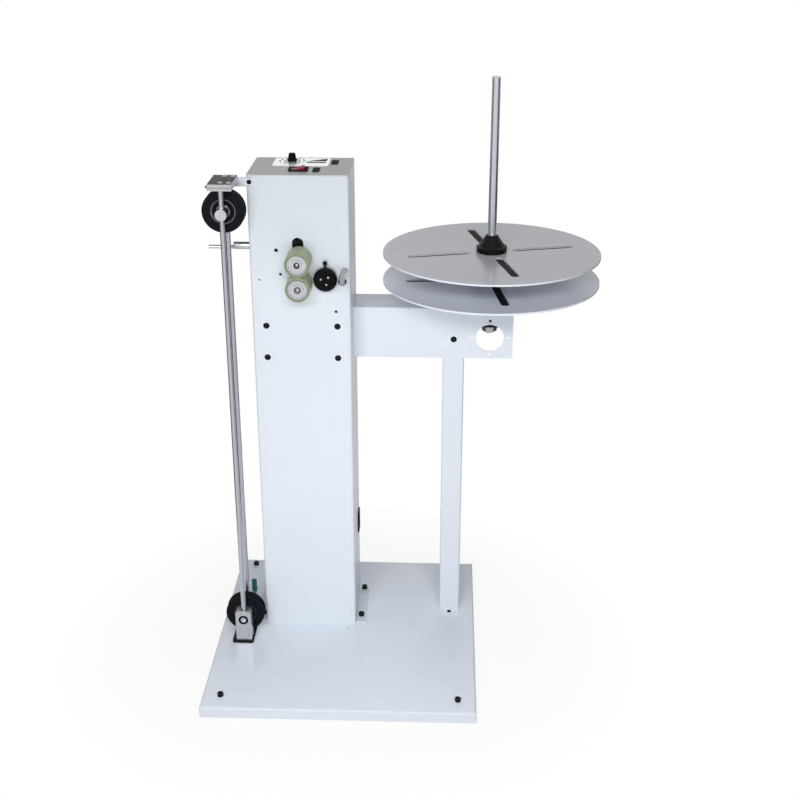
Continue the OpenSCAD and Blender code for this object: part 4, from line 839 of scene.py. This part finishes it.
def numeral(bm, digits, place, height):
    """Digits as a thin flat mesh, centred on their place."""
    curve = bpy.data.curves.new("digits", "FONT")
    curve.body = digits
    curve.size = height
    curve.align_x = "CENTER"
    curve.align_y = "CENTER"
    curve.extrude = NUMERAL_HALF * MM
    curve.offset = height * NUMERAL_GAIN
    holder = bpy.data.objects.new("digits", curve)
    scene.collection.objects.link(holder)
    mesh = bpy.data.meshes.new_from_object(holder.evaluated_get(bpy.context.evaluated_depsgraph_get()))
    mesh.transform(place)
    bm.from_mesh(mesh)
    bpy.data.objects.remove(holder)
    bpy.data.curves.remove(curve)
    bpy.data.meshes.remove(mesh)


def joint_of(name):
    return next(j for j in frame["record"]["behaviour"]["joints"] if j["name"] == name)


# Dial plate, in mm: its reach along X and Y, its sheet and the hole for the knob's shaft
DIAL_X = (-115, -25)
DIAL_Y = (80, 136)
DIAL_THICK = 0.4
DIAL_BEVEL = 0.12
DIAL_CORNER_R = 3
DIAL_HOLE_R = 5.6
INK_THICK = 0.06
INK_BEVEL = 0.02
# Its scale sweeps to both sides of the rear; a tick has its middle's distance from the axis, and its length
DIAL_SWEEP_DEG = 150
DIAL_STEPS = 20
LONG_TICK = (12.6, 5.0)
SHORT_TICK = (11.6, 3.0)
TICK_WIDE = 1.8
NUMERAL_R = 20.0
NUMERAL_HIGH = 9.0
# Wedge and bar: their middle's place from the plate's left edge, and behind or before the knob's axis
MARKS_IN = 69
MARKS_OFF = 9
WEDGE_HALF = (16, 9)
BAR_SIZE = (32, 8)


def make_dial(looks):
    """Scale plate under the speed knob: ticks with the numbers 0 to 10, a rising wedge and a bar."""
    knob = centre_of("speed_knob")
    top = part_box("top_panel")[1].z
    x0, x1 = (v * MM for v in DIAL_X)
    y0, y1 = (v * MM for v in DIAL_Y)
    middle = Vector(((x0 + x1) / 2, (y0 + y1) / 2, top))
    hole = ((knob.x - middle.x, knob.y - middle.y), DIAL_HOLE_R * MM)
    plate = bmesh.new()
    thin_plate(plate, rounded_outline(x1 - x0, y1 - y0, DIAL_CORNER_R * MM), DIAL_THICK * MM, DIAL_BEVEL * MM,
               Matrix.Translation(middle), hole)
    add_piece("dial_plate", plate, looks["foil"], "frame", PLATE_EDGE_DEG)
    face = top + DIAL_THICK * MM
    heart = Vector((knob.x, knob.y, face))
    ink = INK_THICK * MM
    marks = bmesh.new()
    for step in range(DIAL_STEPS + 1):
        a = math.radians(90 + DIAL_SWEEP_DEG - step * 2 * DIAL_SWEEP_DEG / DIAL_STEPS)
        long_tick = step % 2 == 0
        reach, size = LONG_TICK if long_tick else SHORT_TICK
        spot = Matrix.Translation(heart) @ Matrix.Rotation(a, 4, "Z") @ Matrix.Translation((reach * MM, 0, 0))
        bar_mark(marks, spot, size * MM, TICK_WIDE * MM, ink)
        if long_tick:
            point = Vector((math.cos(a), math.sin(a), 0)) * NUMERAL_R * MM
            numeral(marks, str(step // 2), Matrix.Translation(heart + point), NUMERAL_HIGH * MM)
    w, d = (v * MM for v in WEDGE_HALF)
    across = x0 + MARKS_IN * MM
    wedge_spot = Matrix.Translation((across, knob.y + MARKS_OFF * MM, face))
    bar_spot = Matrix.Translation((across, knob.y - MARKS_OFF * MM, face))
    thin_plate(marks, [(-w, -d), (w, -d), (w, d)], ink, INK_BEVEL * MM, wedge_spot)
    bar_mark(marks, bar_spot, *(v * MM for v in BAR_SIZE), ink)
    add_piece("dial_marks", marks, looks["ink"], "frame", PLATE_EDGE_DEG)


# Dark strips under the disc slots, in mm, as painted shade seen through the slots; the slots are those of the
# CAD discs
SLOT_IN = 36
SLOT_OUT = 142
SLOT_WIDE = 14
SLOT_TURN_DEG = {"disc_lower": 8, "disc_upper": 14}
STRIP_LAP = 2
STRIP_THICK = 1.2
STRIP_BEVEL = 0.1
STRIP_CORNER_R = 8


def make_slot_shade_strips(looks):
    """Black rubber strips under the four slots of each disc: a dark sheet standing in for the shade seen
    through the slots.
    """
    length = (SLOT_OUT - SLOT_IN + 2 * STRIP_LAP) * MM
    outline = rounded_outline(length, (SLOT_WIDE + 2 * STRIP_LAP) * MM, STRIP_CORNER_R * MM)
    out = Matrix.Translation(((SLOT_IN + SLOT_OUT) / 2 * MM, 0, 0))
    for disc, body in (("disc_lower", "turntable"), ("disc_upper", "top_flange")):
        middle = centre_of(disc)
        axle = Matrix.Translation((middle.x, middle.y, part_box(disc)[0].z - STRIP_THICK * MM))
        strips = bmesh.new()
        for quarter in range(4):
            turn = Matrix.Rotation(math.radians(SLOT_TURN_DEG[disc] + 90 * quarter), 4, "Z")
            thin_plate(strips, outline, STRIP_THICK * MM, STRIP_BEVEL * MM, axle @ turn @ out)
        add_piece(disc + "_shade_strips", strips, looks["rubber"], body, PLATE_EDGE_DEG)


# Pointer line on the speed knob, in mm: its place behind the axis, its depth below the top and its size
POINTER_BACK = 2.2
POINTER_SUNK = 0.55
POINTER_SIZE = (0.9, 3.6, 0.5)


def make_knob_pointer(looks):
    knob = centre_of("speed_knob")
    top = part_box("speed_knob")[1].z
    line = bmesh.new()
    spot = Matrix.Translation((knob.x, knob.y + POINTER_BACK * MM, top - POINTER_SUNK * MM))
    bar_mark(line, spot, *(v * MM for v in POINTER_SIZE))
    add_piece("knob_pointer", line, looks["white_ink"], "speed_knob")


# Screw heads, in mm: radius, height and radius of the key
LIFT_HEAD = (1.9, 0.9, 0.7)
ROLLER_HEAD = (2.9, 1.3, 1.0)
CLAMP_HEAD = (2.9, 3.2, 1.2)
LIFT_SCREWS_DEG = (45, 165, 285)
LIFT_SCREWS_R = 7
CLAMP_SCREW_FRONT = 7
CLAMP_SCREW_REAR = 9
OUT_FRONT = Matrix.Rotation(math.radians(90), 4, "X")
OUT_LEFT = Matrix.Rotation(math.radians(-90), 4, "Y")


def make_lift_screws(looks):
    """Three bright button heads on the face of the lift knob."""
    middle = centre_of("lift_knob")
    face = Vector((middle.x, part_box("lift_knob")[0].y, middle.z))
    heads = bmesh.new()
    for a in LIFT_SCREWS_DEG:
        spot = Vector((math.cos(math.radians(a)), 0, math.sin(math.radians(a)))) * LIFT_SCREWS_R * MM
        button_head(heads, Matrix.Translation(face + spot) @ OUT_FRONT, LIFT_HEAD)
    add_piece("lift_screws", heads, looks["zinc"], "lift", HEAD_EDGE_DEG)


def make_roller_screws(looks):
    """Bright retaining screw in the end of each roller's axle."""
    for name, axle, hub, body in (("pinch_axle_screw", "pinch_block", "pinch_hub", "pinch_slide"),
                                  ("drive_shaft_screw", "drive_shaft", "drive_hub", "drive_roller")):
        middle = centre_of(hub)
        end = Vector((middle.x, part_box(axle)[0].y, middle.z))
        head = bmesh.new()
        button_head(head, Matrix.Translation(end) @ OUT_FRONT, ROLLER_HEAD)
        add_piece(name, head, looks["zinc"], body, HEAD_EDGE_DEG)


def make_clamp_screws(looks):
    """Two black screws in the left side of the dancer's top plate, which close it on the rods."""
    low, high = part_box("dancer_top_plate")
    heads = bmesh.new()
    for y in (low.y + CLAMP_SCREW_FRONT * MM, high.y - CLAMP_SCREW_REAR * MM):
        spot = Vector((low.x, y, (low.z + high.z) / 2))
        button_head(heads, Matrix.Translation(spot) @ OUT_LEFT, CLAMP_HEAD)
    add_piece("plate_clamp_screws", heads, looks["screw_black"], "frame", HEAD_EDGE_DEG)


# On and off marks of the rocker, in mm from its pivot; tilt, half length and dip are those of the CAD paddle
ROCKER_TILT_DEG = 15
ROCKER_HALF = 10.5
ROCKER_DIP = 1.4
ROCKER_MARK_OUT = 5.2
ROCKER_MARK_UP = 4.36
ON_MARK = (0.8, 5, 0.08)
OFF_MARK = ((1.6, 0), (2.4, 0), (2.3, 0.08), (1.7, 0.08))
OFF_SIDES = 24


def make_rocker_marks(looks):
    """On and off marks on the two halves of the rocker paddle."""
    pivot = Matrix.Translation(joint_of("rocker_tilt")["pos_m"])
    turn = pivot @ Matrix.Rotation(math.radians(-ROCKER_TILT_DEG), 4, "Y")
    fold = math.atan2(ROCKER_DIP, ROCKER_HALF)

    def spot(side):
        place = Matrix.Translation((side * ROCKER_MARK_OUT * MM, 0, ROCKER_MARK_UP * MM))
        return turn @ place @ Matrix.Rotation(-side * fold, 4, "Y")

    marks = bmesh.new()
    bar_mark(marks, spot(-1), *(v * MM for v in ON_MARK))
    rings = []
    for r, z in OFF_MARK:
        points = circle(r * MM, z * MM, OFF_SIDES)
        rings.append([marks.verts.new(spot(1) @ Vector(point)) for point in points])
    skin(marks, rings + rings[:1])
    add_piece("rocker_marks", marks, looks["white_ink"], "rocker")


# Pinch spring: wire in mm, turns, steps in a turn, sides of the wire and how far the end turns close up
SPRING_WIRE = 1.2
SPRING_TURNS = 7
SPRING_STEPS = 20
SPRING_SIDES = 8
SPRING_CLOSE = 0.9


def make_pinch_spring(looks):
    """Coil spring over the pinch block, with its end turns closed up."""
    low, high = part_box("pinch_spring")
    middle = (low + high) / 2
    wire = SPRING_WIRE * MM / 2
    coil = (high.x - low.x) / 2 - wire
    run = high.z - low.z - 2 * wire
    coils = bmesh.new()
    rings = []
    for step in range(SPRING_TURNS * SPRING_STEPS + 1):
        share = step / (SPRING_TURNS * SPRING_STEPS)
        eased = share - SPRING_CLOSE / (2 * math.pi * SPRING_TURNS) * math.sin(2 * math.pi * share)
        a = 2 * math.pi * SPRING_TURNS * share
        out = Vector((math.cos(a), math.sin(a), 0))
        heart = Vector((middle.x, middle.y, low.z + wire + run * eased)) + out * coil
        points = ring_points(wire, SPRING_SIDES)
        rings.append([coils.verts.new(heart + out * x + Vector((0, 0, y))) for x, y in points])
    skin(coils, rings)
    coils.faces.new(rings[0])
    coils.faces.new(rings[-1])
    spring = add_piece("pinch_spring_coil", coils, looks["zinc"], "frame")
    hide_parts("pinch_spring")
    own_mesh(spring)


make_studio()
looks = make_materials()
dress_nodes(looks)
make_dial(looks)
make_slot_shade_strips(looks)
make_knob_pointer(looks)
make_lift_screws(looks)
make_roller_screws(looks)
make_clamp_screws(looks)
make_rocker_marks(looks)
make_pinch_spring(looks)
